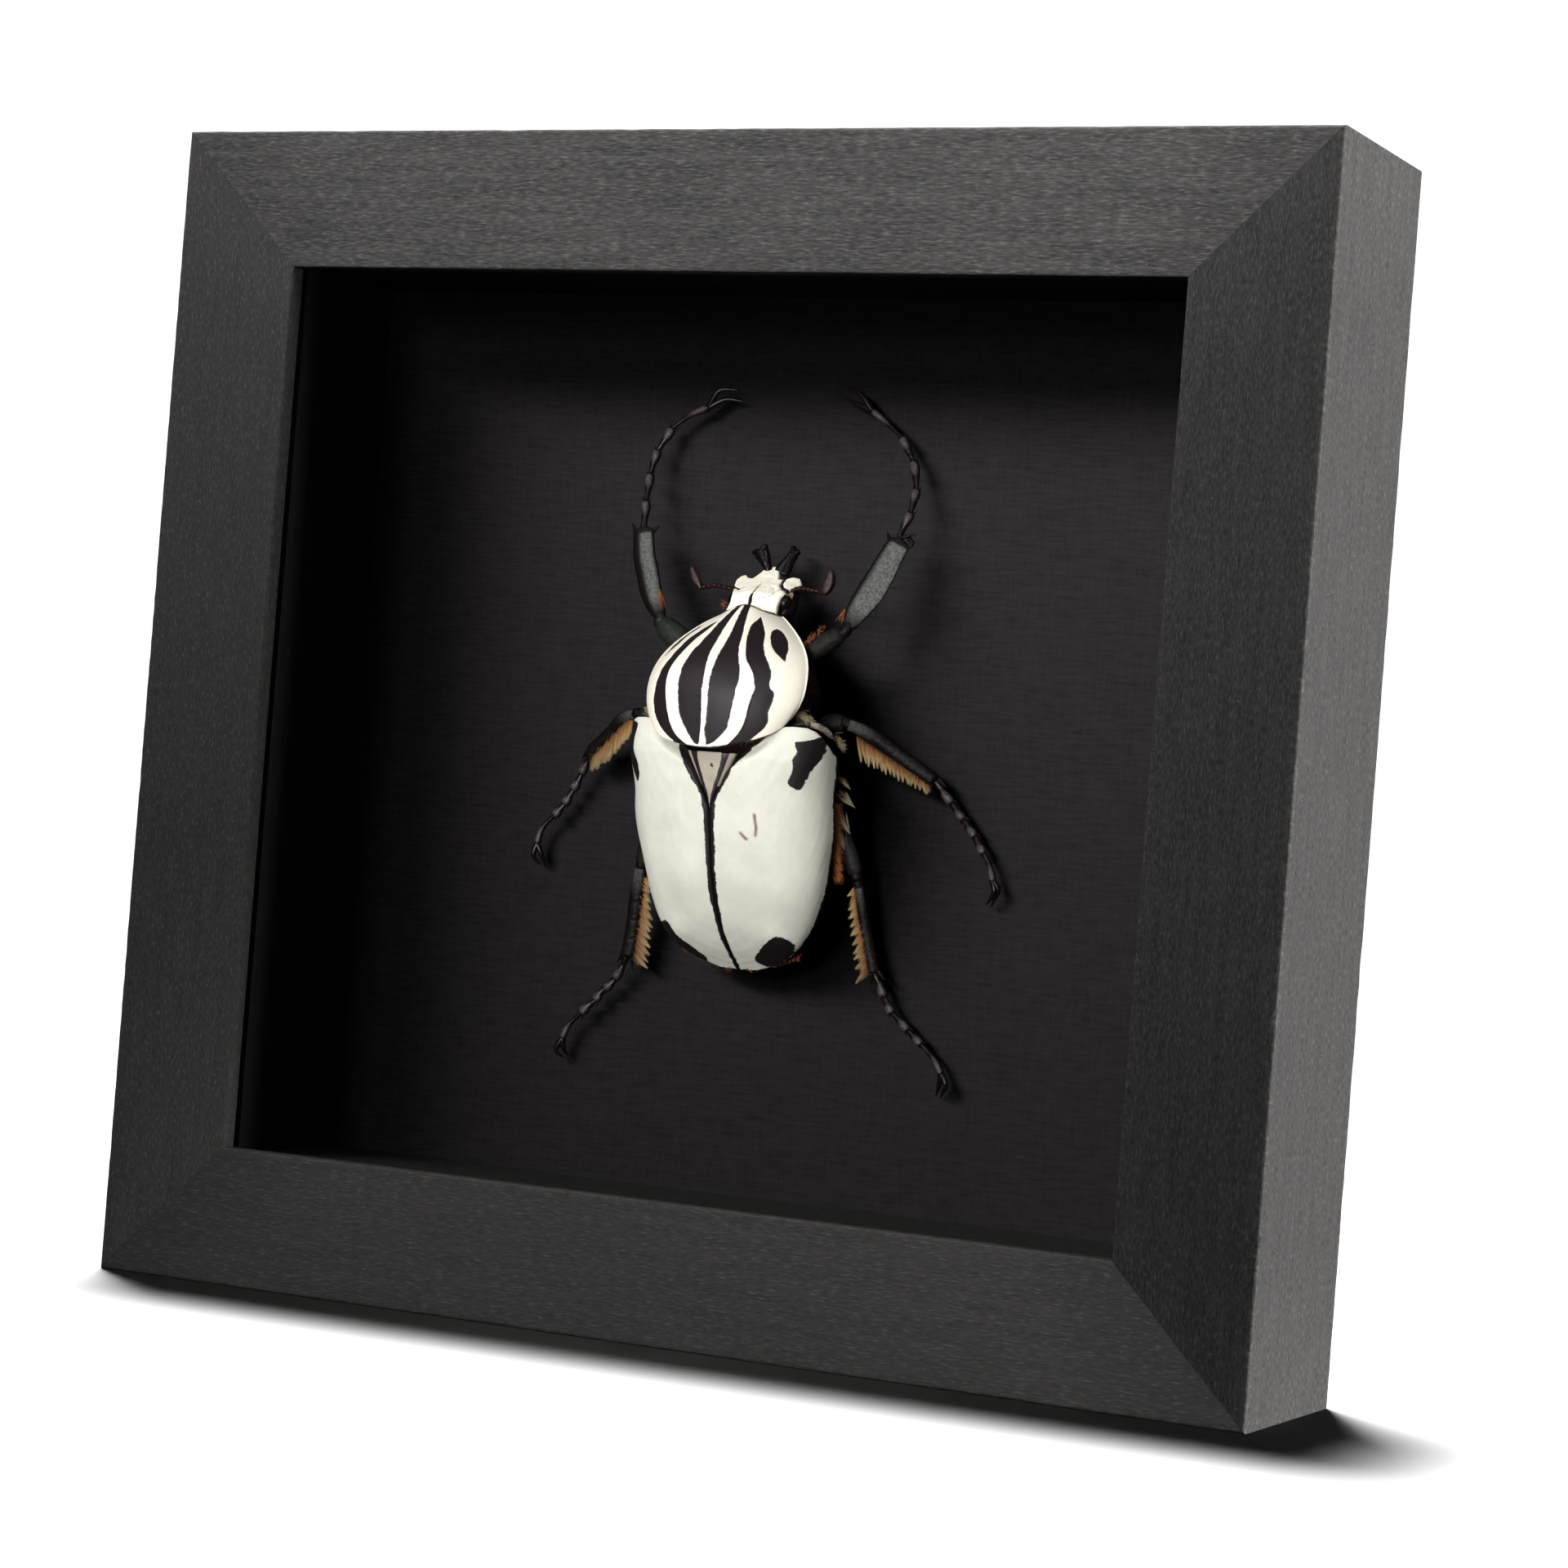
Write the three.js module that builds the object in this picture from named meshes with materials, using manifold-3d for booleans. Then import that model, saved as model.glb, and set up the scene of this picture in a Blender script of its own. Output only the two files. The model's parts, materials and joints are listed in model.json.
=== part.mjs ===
// A goliath beetle with spread legs, fixed to a cloth-covered board in a black wooden box frame.
// Millimetres, +Z up, the glazed front faces -Y and the frame stands on its bottom rail.
import * as THREE from "three";
import { mergeVertices } from "three/addons/utils/BufferGeometryUtils.js";
import Module from "manifold-3d";

const wasm = await Module();
wasm.setup();

// Frame
const WIDTH = 165;
const HEIGHT = 156;
const DEPTH = 31.5;
const RAIL_FACE = 18.5; // width of the moulding seen from the front
const REBATE = 6; // how far the lip covers the glass
const LIP = 2.5;
const GLASS = 2;
const BOARD_DEPTH = 27; // from the front of the rails to the front of the mount board
const BOARD = 1.2;
const PANEL = 1.3;
const SPACER = 5;
const FIT = 0.2; // clearance around the pieces held in the rebate
const HANGER_WIDTH = 44;
const HANGER_HEIGHT = 9;
const HANGER = 0.8;
const HANGER_TEETH = 7;

// Beetle
const BODY_REAR = -30; // tips of the elytra, measured up the board from its centre
const ELYTRA_HALF_WIDTH = 14.5;
const SHELL = 0.9; // thickness of the elytra and the pronotum
const SEAM = 0.15; // half of the gap between the elytra
const PRONOTUM_HALF_WIDTH = 11.2;
const SCUTELLUM_HALF_WIDTH = 3.7;
const SCUTELLUM_FRONT = -1.8;
const SCUTELLUM_REAR = -8.8;
const JOINT_GAP = 0.3;

const group = new THREE.Group();
group.name = "framed_goliath_beetle";

const stainedWood = () => new THREE.MeshStandardMaterial({ color: 0x3a3a39, roughness: 0.6 });
const blackWall = () => new THREE.MeshStandardMaterial({ color: 0x151515, roughness: 0.9 });
const cloth = () => new THREE.MeshStandardMaterial({ color: 0x272424, roughness: 0.95 });
const hardboard = () => new THREE.MeshStandardMaterial({ color: 0x6b4a30, roughness: 0.8 });
const steel = () => new THREE.MeshStandardMaterial({ color: 0xb8b4a4, roughness: 0.35, metalness: 1 });
const clearGlass = () =>
  new THREE.MeshStandardMaterial({ color: 0xffffff, roughness: 0.02, transparent: true, opacity: 0.12 });
const whiteShell = () => new THREE.MeshStandardMaterial({ color: 0xe9e9df, roughness: 0.55 });
const creamShell = () => new THREE.MeshStandardMaterial({ color: 0xf3ecd8, roughness: 0.55 });
const blackShell = () => new THREE.MeshStandardMaterial({ color: 0x2b2325, roughness: 0.6 });
const brownBody = () => new THREE.MeshStandardMaterial({ color: 0x4a2c18, roughness: 0.8 });
const limbShell = () => new THREE.MeshStandardMaterial({ color: 0x221d1c, roughness: 0.35 });

function add(name, geometry, material) {
  const mesh = new THREE.Mesh(geometry, material);
  mesh.name = name;
  group.add(mesh);
}

function signedVolume(geometry) {
  const position = geometry.attributes.position;
  const index = geometry.index.array;
  const [a, b, c] = [new THREE.Vector3(), new THREE.Vector3(), new THREE.Vector3()];
  let sum = 0;
  for (let i = 0; i < index.length; i += 3) {
    a.fromBufferAttribute(position, index[i]);
    b.fromBufferAttribute(position, index[i + 1]);
    c.fromBufferAttribute(position, index[i + 2]);
    sum += a.dot(b.cross(c)) / 6;
  }
  return sum;
}

// Moves every vertex of a closed geometry, welds it and turns its faces outward.
function shaped(geometry, place) {
  geometry.deleteAttribute("normal");
  geometry.deleteAttribute("uv");
  const position = geometry.attributes.position;
  const point = new THREE.Vector3();
  for (let i = 0; i < position.count; i += 1) {
    const moved = place(point.fromBufferAttribute(position, i));
    position.setXYZ(i, moved.x, moved.y, moved.z);
  }
  const welded = mergeVertices(geometry, 1e-3);
  const source = welded.index.array;
  const kept = [];
  for (let i = 0; i < source.length; i += 3) {
    const [a, b, c] = [source[i], source[i + 1], source[i + 2]];
    if (a !== b && b !== c && c !== a) kept.push(a, b, c);
  }
  welded.setIndex(kept);
  if (signedVolume(welded) < 0) {
    const turned = [];
    for (let i = 0; i < kept.length; i += 3) turned.push(kept[i], kept[i + 2], kept[i + 1]);
    welded.setIndex(turned);
  }
  return welded;
}

function solid(geometry) {
  return new wasm.Manifold(new wasm.Mesh({
    numProp: 3,
    vertProperties: Float32Array.from(geometry.attributes.position.array),
    triVerts: Uint32Array.from(geometry.index.array),
  }));
}

function meshed(manifold) {
  const mesh = manifold.getMesh();
  const geometry = new THREE.BufferGeometry();
  geometry.setAttribute("position", new THREE.BufferAttribute(mesh.vertProperties, 3));
  geometry.setIndex(new THREE.BufferAttribute(mesh.triVerts, 1));
  return geometry;
}

function fused(pieces) {
  return meshed(pieces.map(solid).reduce((whole, piece) => whole.add(piece)));
}

function cut(body, tools) {
  return meshed(tools.map(solid).reduce((whole, tool) => whole.subtract(tool), solid(body)));
}

// Position on the beetle: across the board, up the board and out from the board.
function onBoard(across, up, out) {
  return new THREE.Vector3(across, BOARD_DEPTH - DEPTH / 2 - out, HEIGHT / 2 + up);
}

const mix = THREE.MathUtils.lerp;
const smooth = THREE.MathUtils.smoothstep;
const clamp = THREE.MathUtils.clamp;

// Frame rails: one moulding with a lip and a rebate, mitred at the corners.
const moulding = new THREE.Shape();
moulding.moveTo(0, 0);
moulding.lineTo(RAIL_FACE, 0);
moulding.lineTo(RAIL_FACE, LIP);
moulding.lineTo(RAIL_FACE - REBATE, LIP);
moulding.lineTo(RAIL_FACE - REBATE, DEPTH);
moulding.lineTo(0, DEPTH);
moulding.closePath();

const MITRE_GAP = 0.1;
function rail(length, place) {
  const bar = new THREE.ExtrudeGeometry(moulding, { depth: 1, bevelEnabled: false });
  return shaped(bar, ({ x: inward, y: back, z }) => {
    const along = (z - 0.5) * (length - 2 * inward - MITRE_GAP);
    return place(along, inward, back - DEPTH / 2);
  });
}
const vector = (x, y, z) => new THREE.Vector3(x, y, z);
add("rail_bottom", rail(WIDTH, (along, inward, y) => vector(along, y, inward)), stainedWood());
add("rail_top", rail(WIDTH, (along, inward, y) => vector(along, y, HEIGHT - inward)), stainedWood());
add("rail_left", rail(HEIGHT, (along, inward, y) =>
  vector(inward - WIDTH / 2, y, HEIGHT / 2 + along)), stainedWood());
add("rail_right", rail(HEIGHT, (along, inward, y) =>
  vector(WIDTH / 2 - inward, y, HEIGHT / 2 + along)), stainedWood());

// Sheets held in the rebate. Depths are measured from the front of the rails.
const SHEET_WIDTH = WIDTH - 2 * (RAIL_FACE - REBATE) - 2 * FIT;
const SHEET_HEIGHT = HEIGHT - 2 * (RAIL_FACE - REBATE) - 2 * FIT;
function sheet(width, height, x, z, front, back) {
  const plate = new THREE.BoxGeometry(width, back - front, height);
  plate.translate(x, (front + back) / 2 - DEPTH / 2, z);
  return plate;
}
const GLASS_BACK = LIP + FIT + GLASS;
const BOARD_BACK = BOARD_DEPTH + BOARD;
const PANEL_BACK = BOARD_BACK + PANEL;
add("glass_pane", sheet(SHEET_WIDTH, SHEET_HEIGHT, 0, HEIGHT / 2, LIP + FIT, GLASS_BACK), clearGlass());
add("mount_board", sheet(SHEET_WIDTH, SHEET_HEIGHT, 0, HEIGHT / 2, BOARD_DEPTH, BOARD_BACK - 0.1), cloth());
add("back_panel", sheet(SHEET_WIDTH, SHEET_HEIGHT, 0, HEIGHT / 2, BOARD_BACK, PANEL_BACK), hardboard());

for (const side of [-1, 1]) {
  const spacerFront = GLASS_BACK + 0.1;
  const spacerBack = BOARD_DEPTH - 0.1;
  const standing = sheet(SPACER, SHEET_HEIGHT, side * (SHEET_WIDTH - SPACER) / 2, HEIGHT / 2,
    spacerFront, spacerBack);
  const lying = sheet(SHEET_WIDTH - 2 * SPACER - 2 * FIT, SPACER, 0,
    HEIGHT / 2 + side * (SHEET_HEIGHT - SPACER) / 2, spacerFront, spacerBack);
  add(side < 0 ? "spacer_left" : "spacer_right", standing, blackWall());
  add(side < 0 ? "spacer_bottom" : "spacer_top", lying, blackWall());
}

// Sawtooth hanger on the back panel, sunk below the back of the rails.
const HANGER_Z = HEIGHT - RAIL_FACE - 8;
const hangerOutline = new THREE.Shape();
hangerOutline.moveTo(-HANGER_WIDTH / 2, HANGER_HEIGHT / 2);
hangerOutline.lineTo(-HANGER_WIDTH / 2, -HANGER_HEIGHT / 2);
const toothed = HANGER_WIDTH * 0.6;
for (let i = 0; i <= HANGER_TEETH; i += 1) {
  const x = mix(-toothed / 2, toothed / 2, i / HANGER_TEETH);
  hangerOutline.lineTo(x, -HANGER_HEIGHT / 2);
  if (i < HANGER_TEETH) hangerOutline.lineTo(x + toothed / HANGER_TEETH / 2, -HANGER_HEIGHT / 2 + 2);
}
hangerOutline.lineTo(HANGER_WIDTH / 2, -HANGER_HEIGHT / 2);
hangerOutline.lineTo(HANGER_WIDTH / 2, HANGER_HEIGHT / 2);
hangerOutline.closePath();
const hangerFront = PANEL_BACK - DEPTH / 2 + 0.1;
add("sawtooth_hanger", shaped(
  new THREE.ExtrudeGeometry(hangerOutline, { depth: HANGER, bevelEnabled: false }),
  ({ x, y, z }) => vector(x, hangerFront + z, HANGER_Z + y),
), steel());
for (const side of [-1, 1]) {
  const head = new THREE.CylinderGeometry(1.8, 2.2, 0.7, 16);
  head.translate(side * (HANGER_WIDTH / 2 - 4), hangerFront + HANGER + 0.45, HANGER_Z + 1);
  add(side < 0 ? "hanger_screw_left" : "hanger_screw_right", head, steel());
}

// Outlines of the body. The position up the board is zero at the middle of the frame.
const elytraHalf = (up) => ELYTRA_HALF_WIDTH * Math.sqrt(1 - clamp(up / BODY_REAR, 0, 1) ** 4);
const elytraEdge = (up) => 9.9 + 0.135 * up - 1.2 * smooth(-up, 26, 30);
function elytraRidge(up) {
  const t = Math.max(0, (-2 - up) / 27.6);
  return 5 + 13.6 * (1 - 0.5 * t - 0.5 * t ** 3);
}

// Each elytron is a thin half dome from the middle seam to its outer edge.
function elytron(side) {
  const shell = new THREE.BoxGeometry(1, 1, 1, 9, 14, 1);
  const dome = shaped(shell, ({ x, y, z }) => {
    const s = x + 0.5;
    const t = y + 0.5;
    const turn = s * Math.PI / 2;
    const shoulder = 4.8 * smooth(s, 0.25, 0.6) - 2.7 * clamp((s - 0.85) / 0.15, 0, 1) ** 2;
    const up = mix(-2.4 + shoulder, BODY_REAR + 0.15, t);
    const across = elytraHalf(up) * Math.sin(turn) ** 0.8;
    const drop = 2 * (1 - smooth(t, 0, 0.09)) * Math.cos(turn);
    const edge = elytraEdge(up);
    const out = edge + (elytraRidge(up) - drop - edge) * Math.cos(turn) ** 0.8;
    const toward = new THREE.Vector2(-across, edge - 1 - out);
    toward.setLength(Math.min(SHELL, toward.length() * 0.5) * (0.5 - z));
    return onBoard(side * (SEAM + across + toward.x), up, out + toward.y);
  });
  const notch = new THREE.Shape();
  notch.moveTo(-SCUTELLUM_HALF_WIDTH - JOINT_GAP, SCUTELLUM_FRONT + 3);
  notch.lineTo(SCUTELLUM_HALF_WIDTH + JOINT_GAP, SCUTELLUM_FRONT + 3);
  notch.lineTo(SCUTELLUM_HALF_WIDTH + JOINT_GAP, SCUTELLUM_FRONT);
  notch.lineTo(0, SCUTELLUM_REAR - JOINT_GAP * 2);
  notch.lineTo(-SCUTELLUM_HALF_WIDTH - JOINT_GAP, SCUTELLUM_FRONT);
  notch.closePath();
  const notchBlock = shaped(
    new THREE.ExtrudeGeometry(notch, { depth: 14, bevelEnabled: false }),
    ({ x, y, z }) => onBoard(x, y, 10 + z),
  );
  return cut(dome, [notchBlock]);
}
add("elytron_left", elytron(-1), whiteShell());
add("elytron_right", elytron(1), whiteShell());

// Scutellum: the small triangle between the elytra.
add("scutellum", shaped(new THREE.BoxGeometry(1, 1, 1, 6, 5, 1), ({ x, y, z }) => {
  const up = mix(SCUTELLUM_FRONT, SCUTELLUM_REAR, 0.5 - y);
  const half = mix(0.2, SCUTELLUM_HALF_WIDTH, y + 0.5);
  const across = 2 * x * half;
  return onBoard(across, up, elytraRidge(up) - 0.03 * across ** 2 - 1.2 * (0.5 - z));
}), blackShell());

// Pronotum: a domed shield, narrow at the head and lobed behind.
function pronotumHalf(t) {
  const wide = 0.7;
  if (t < wide) return 3.7 + (PRONOTUM_HALF_WIDTH - 3.7) * (1 - (1 - t / wide) ** 2.3);
  return PRONOTUM_HALF_WIDTH - 1.6 * ((t - wide) / (1 - wide)) ** 2;
}
function pronotumRidge(t) {
  const top = 0.63;
  if (t < top) return 21.1 - 8.1 * (1 - t / top) ** 1.6;
  return 21.1 - 1.3 * ((t - top) / (1 - top)) ** 1.5;
}
const pronotumEdge = (t) => 8.5 + 7.1 * (1 - (1 - t) ** 1.8);
add("pronotum", shaped(new THREE.BoxGeometry(1, 1, 1, 18, 10, 1), ({ x, y, z }) => {
  const t = 0.5 - y;
  const turn = Math.PI * Math.abs(x);
  const half = pronotumHalf(t);
  const edge = pronotumEdge(t);
  const across = Math.sign(x) * half * Math.sin(turn) ** 0.9;
  const out = edge + (pronotumRidge(t) - edge) * Math.cos(turn) ** 0.9;
  const corner = mix(17.2, x < 0 ? 2.2 : 3.3, t);
  const up = mix(mix(17.4, -1.3, t), corner, Math.abs(2 * x) ** (x < 0 ? 1.9 : 1.5));
  const toward = new THREE.Vector2(-across, edge - 3 - out).setLength(SHELL * (0.5 - z));
  return onBoard(across + toward.x, up, out + toward.y);
}), creamShell());

// A closed limb along a curve. Each section is a half width and a half thickness.
function limb(points, section, sides, steps) {
  const curve = new THREE.CatmullRomCurve3(points.map((point) => vector(...point)), false, "centripetal");
  const outward = vector(0, 0, 1);
  return shaped(new THREE.CylinderGeometry(1, 1, 1, sides, steps), ({ x, y, z }) => {
    const t = y + 0.5;
    const along = curve.getTangentAt(t);
    const sideways = along.clone().cross(outward).normalize();
    const lift = sideways.clone().cross(along);
    const [halfWidth, halfThickness] = section(t);
    const spot = curve.getPointAt(t);
    spot.addScaledVector(sideways, x * halfWidth).addScaledVector(lift, z * halfThickness);
    return onBoard(spot.x, spot.y, spot.z);
  });
}
const taper = (start, end) => (t) => [mix(start, end, t), mix(start, end, t)];
const mirrored = (points, side) => points.map(([across, up, out]) => [side * across, up, out]);

// Legs, given for the right side: hip, knee, ankle, tarsus and claw points.
const LEGS = {
  front: {
    hip: [8.6, 11.4, 8.2],
    knee: [14.2, 15.7, 9.9],
    shin: [15.2, 17.6, 9.5],
    ankle: [19.1, 28.2, 5.2],
    tarsus: [[19.3, 28.9, 5], [19.9, 33, 4.5], [19.1, 38.4, 4.1], [17.2, 41.7, 3.8], [12, 45, 3.5]],
    claws: [[[10.3, 47.2, 3.3], [8.2, 47.2, 3]], [[10, 45.9, 3.1], [7.9, 45.7, 2.8]]],
    femur: [1.7, 1.3],
    tibia: [1.75, 0.95],
  },
  mid: {
    hip: [10.6, 1.4, 5.2],
    knee: [14.6, 3.3, 5.4],
    shin: [15.6, 2.7, 5.2],
    ankle: [25.6, -3.6, 2.5],
    tarsus: [[25.9, -4, 2.4], [28.7, -7.6, 2.2], [31.8, -11.6, 1.8], [33.8, -14, 1.6], [34.1, -15.6, 1.4]],
    claws: [[[34.1, -17, 1.1], [32.4, -18.8, 0.8]], [[34.6, -16.8, 1.6], [33.3, -18.9, 1.3]]],
    femur: [1.4, 1.2],
    tibia: [1, 0.85],
    fringe: { toward: [0.1, -1, -0.1], long: 3.4, short: 2.1, from: 0.02 },
  },
  hind: {
    hip: [12.4, -11.5, 4],
    knee: [15.9, -15.7, 4.1],
    shin: [16.3, -17.1, 3.9],
    ankle: [18.7, -29.4, 2],
    tarsus: [[18.9, -30.1, 1.9], [20.6, -33.3, 1.8], [25, -37.3, 1.6], [27.6, -39.7, 1.5], [28.5, -41.5, 1.3]],
    claws: [[[29, -42.8, 1], [27.4, -44, 0.8]], [[29.5, -42.6, 1.5], [28.3, -44.2, 1.3]]],
    femur: [1.4, 1.2],
    tibia: [1, 0.85],
    fringe: { toward: [-0.62, -0.78, -0.1], long: 4.4, short: 3.6, from: 0.02 },
  },
};

function femur(leg, side, allowance) {
  const [width, thickness] = leg.femur;
  const swell = (t) => 0.72 + 0.28 * Math.sin(Math.PI * t) + allowance;
  return limb(mirrored([leg.hip, leg.knee], side), (t) => [width * swell(t), thickness * swell(t)], 8, 4);
}

// The fringe of hair along a tibia, with one tooth for each lock.
function fringe(leg, side) {
  const shin = vector(...leg.shin);
  const along = vector(...leg.ankle).sub(shin);
  const hair = vector(...leg.fringe.toward).normalize();
  const thickness = along.clone().cross(hair).normalize();
  const comb = new THREE.Shape();
  const locks = 9;
  comb.moveTo(leg.fringe.from, 0);
  for (let i = 0; i < locks; i += 1) {
    const near = mix(leg.fringe.from, 0.95, i / locks);
    const far = mix(leg.fringe.from, 0.95, (i + 1) / locks);
    const reach = mix(leg.fringe.long, leg.fringe.short, i / (locks - 1));
    comb.lineTo(mix(near, far, 0.55), reach);
    comb.lineTo(far, i < locks - 1 ? reach * 0.68 : 0);
  }
  comb.closePath();
  return shaped(new THREE.ExtrudeGeometry(comb, { depth: 0.7, bevelEnabled: false }), ({ x, y, z }) => {
    const spot = shin.clone().addScaledVector(along, x).addScaledVector(hair, y);
    spot.addScaledVector(thickness, z - 0.35);
    return onBoard(side * spot.x, spot.y, spot.z);
  });
}

function tibia(leg, side) {
  const [width, thickness] = leg.tibia;
  const shin = vector(...leg.shin);
  const ankle = vector(...leg.ankle);
  const along = ankle.clone().sub(shin).normalize();
  const across = vector(along.y, -along.x, 0);
  const flare = (t) => [width * (0.7 + 0.3 * smooth(t, 0, 0.3)), thickness * (0.8 + 0.2 * smooth(t, 0, 0.3))];
  const pieces = [limb(mirrored([leg.shin, leg.ankle], side), flare, 8, 6)];
  for (const edge of [-1, 1]) {
    const root = ankle.clone().addScaledVector(across, edge * width * 0.75).addScaledVector(along, -0.8);
    const tip = ankle.clone().addScaledVector(across, edge * width * 1.25).addScaledVector(along, 0.7);
    pieces.push(limb(mirrored([root.toArray(), tip.toArray()], side), taper(0.35, 0.06), 5, 2));
  }
  if (leg.fringe) pieces.push(fringe(leg, side));
  return fused(pieces);
}

// Five tarsal joints in a row, each wider at its far end, and the two claws.
function tarsus(leg, side) {
  const joints = 5;
  const bead = (t) => {
    const place = t * joints - Math.floor(Math.min(t * joints, joints - 0.01));
    const radius = 0.38 + 0.24 * Math.sin(Math.PI * clamp(place, 0, 1)) * (0.4 + place);
    return [radius, radius];
  };
  const pieces = [limb(mirrored(leg.tarsus, side), bead, 6, joints * 3)];
  const toe = leg.tarsus[leg.tarsus.length - 1];
  for (const [bend, tip] of leg.claws) {
    pieces.push(limb(mirrored([toe, bend, tip], side), taper(0.32, 0.06), 5, 4));
  }
  return fused(pieces);
}

const clearances = [];
for (const side of [-1, 1]) {
  const hand = side < 0 ? "left" : "right";
  for (const [place, leg] of Object.entries(LEGS)) {
    add(`femur_${place}_${hand}`, femur(leg, side, 0), limbShell());
    add(`tibia_${place}_${hand}`, tibia(leg, side), limbShell());
    add(`tarsus_${place}_${hand}`, tarsus(leg, side), limbShell());
    clearances.push(femur(leg, side, 0.25));
  }
}

// Underside: the prothorax below the pronotum, the abdomen below the elytra.
function underside(rear, front, half, top, bottom, sides, steps) {
  return shaped(new THREE.CylinderGeometry(1, 1, 1, sides, steps), ({ x, y, z }) => {
    const up = mix(rear, front, y + 0.5);
    const middle = (top(up) + bottom(up)) / 2;
    return onBoard(x * half(up), up, middle + z * (top(up) - bottom(up)) / 2);
  });
}
const pronotumPlace = (up) => clamp((17.2 - up) / 15, 0, 1);
add("prothorax", cut(underside(2.6, 16.2,
  (up) => pronotumHalf(pronotumPlace(up)) - 1.3,
  (up) => pronotumEdge(pronotumPlace(up)) - 0.6,
  (up) => mix(2.5, 4.2, up / 16.2), 14, 6), clearances), blackShell());
const abdomenHalf = (up) => Math.max(1.2, elytraHalf(up - 0.3) - 0.5 - 3.5 * smooth(up, -6, 2));
add("abdomen", cut(underside(-29.3, 2,
  abdomenHalf,
  (up) => elytraEdge(up) - 0.6,
  (up) => 0.3 + 1.6 * smooth(-up, 20, 30), 14, 10), clearances), brownBody());

// Head: a plate bent down in front of the pronotum, with side lobes, eyes and a forked horn.
const HEAD_BASE = 17.9;
const HEAD_FRONT = 24.6;
const headHeight = (up) => 9.2 - 0.95 * (up - HEAD_BASE);
function headHalf(t) {
  const neck = 3.6 - 0.4 * Math.sin(Math.PI * clamp(t / 0.5, 0, 1));
  const lobe = 1.3 * Math.exp(-(((t - 0.62) / 0.15) ** 2));
  return mix(neck, 1.1, smooth(t, 0.66, 0.95)) + lobe;
}
const headPlate = shaped(new THREE.BoxGeometry(1, 1, 1, 8, 12, 1), ({ x, y, z }) => {
  const t = y + 0.5;
  const up = mix(HEAD_BASE, HEAD_FRONT, t);
  const across = 2 * x * headHalf(t);
  const crown = 0.8 * (1 - (2 * x) ** 2) * (1 - 0.5 * t);
  const under = (0.5 - z) * mix(2.6, 1.1, t);
  return onBoard(across, up - 0.4 * under, headHeight(up) + crown - under);
});
const headPieces = [headPlate];
for (const side of [-1, 1]) {
  const eye = new THREE.SphereGeometry(1.2, 8, 6);
  headPieces.push(shaped(eye, ({ x, y, z }) => onBoard(side * 4 + x, 18.9 + y, 6.9 + z)));
  const root = [0.7, 23.8, 3.2];
  const arm = [1.7, 25.1, 2.9];
  const tips = [[1.5, 26.7, 2.8], [2.9, 26.2, 2.8]];
  headPieces.push(limb(mirrored([root, arm], side), taper(0.75, 0.65), 8, 2));
  for (const tip of tips) {
    headPieces.push(limb(mirrored([arm, tip], side), taper(0.7, 0.3), 8, 2));
  }
}
add("head", fused(headPieces), creamShell());

// Antennae: a thin shaft from beside the eye and a club turned forward.
for (const side of [-1, 1]) {
  const path = [[5.4, 20.1, 5.9], [7.7, 20.2, 6], [9, 20.8, 6], [9.9, 22.1, 6], [10.2, 23.5, 6]];
  const club = (t) => {
    const swell = smooth(t, 0.5, 0.62) * (1 - 0.8 * smooth(t, 0.78, 1));
    return [0.3 + 0.4 * swell - 0.18 * smooth(t, 0.85, 1), 0.3 + 0.25 * swell - 0.18 * smooth(t, 0.85, 1)];
  };
  add(side < 0 ? "antenna_left" : "antenna_right", limb(mirrored(path, side), club, 8, 12), limbShell());
}

export default group;
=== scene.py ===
import json
import math
import bmesh
import bpy
import numpy as np
from mathutils import Matrix

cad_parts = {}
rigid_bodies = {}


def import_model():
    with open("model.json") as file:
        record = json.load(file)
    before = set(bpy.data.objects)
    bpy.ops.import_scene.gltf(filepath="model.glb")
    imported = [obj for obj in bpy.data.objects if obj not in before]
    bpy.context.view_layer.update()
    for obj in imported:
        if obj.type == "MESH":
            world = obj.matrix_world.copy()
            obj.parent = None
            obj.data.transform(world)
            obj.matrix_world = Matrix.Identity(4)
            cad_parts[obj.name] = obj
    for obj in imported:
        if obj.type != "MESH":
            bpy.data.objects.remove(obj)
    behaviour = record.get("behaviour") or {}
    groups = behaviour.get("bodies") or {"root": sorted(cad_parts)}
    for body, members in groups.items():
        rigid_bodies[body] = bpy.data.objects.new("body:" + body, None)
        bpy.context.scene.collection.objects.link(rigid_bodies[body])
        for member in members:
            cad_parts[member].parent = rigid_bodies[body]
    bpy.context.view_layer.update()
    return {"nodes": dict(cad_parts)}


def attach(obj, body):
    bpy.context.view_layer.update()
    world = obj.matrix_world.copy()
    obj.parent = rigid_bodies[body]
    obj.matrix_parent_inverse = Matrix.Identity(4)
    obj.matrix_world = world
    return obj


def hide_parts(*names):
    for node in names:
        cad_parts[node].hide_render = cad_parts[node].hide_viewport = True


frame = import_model()
nodes = frame["nodes"]
scene = bpy.context.scene
print("frame loaded with", len(nodes), "nodes")

camera = {
    "place": (0.23403, -0.46673, 0.06821),
    "right": (0.89732, 0.43437, 0.0784),
    "up": (-0.06652, -0.04251, 0.99688),
    "ahead": (-0.43634, 0.89973, 0.00925),
    "lens": 91.318,
    "sensor": 36,
}
cameraData = bpy.data.cameras.new("camera")
cameraData.lens = camera["lens"]
cameraData.sensor_width = camera["sensor"]
cameraData.clip_start = 0.01
cameraObject = bpy.data.objects.new("camera", cameraData)
columns = [camera["right"], camera["up"], tuple(-v for v in camera["ahead"]), camera["place"]]
cameraObject.matrix_world = Matrix([[column[row] for column in columns] for row in range(3)] + [[0, 0, 0, 1]])
scene.collection.objects.link(cameraObject)
scene.camera = cameraObject


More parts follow.
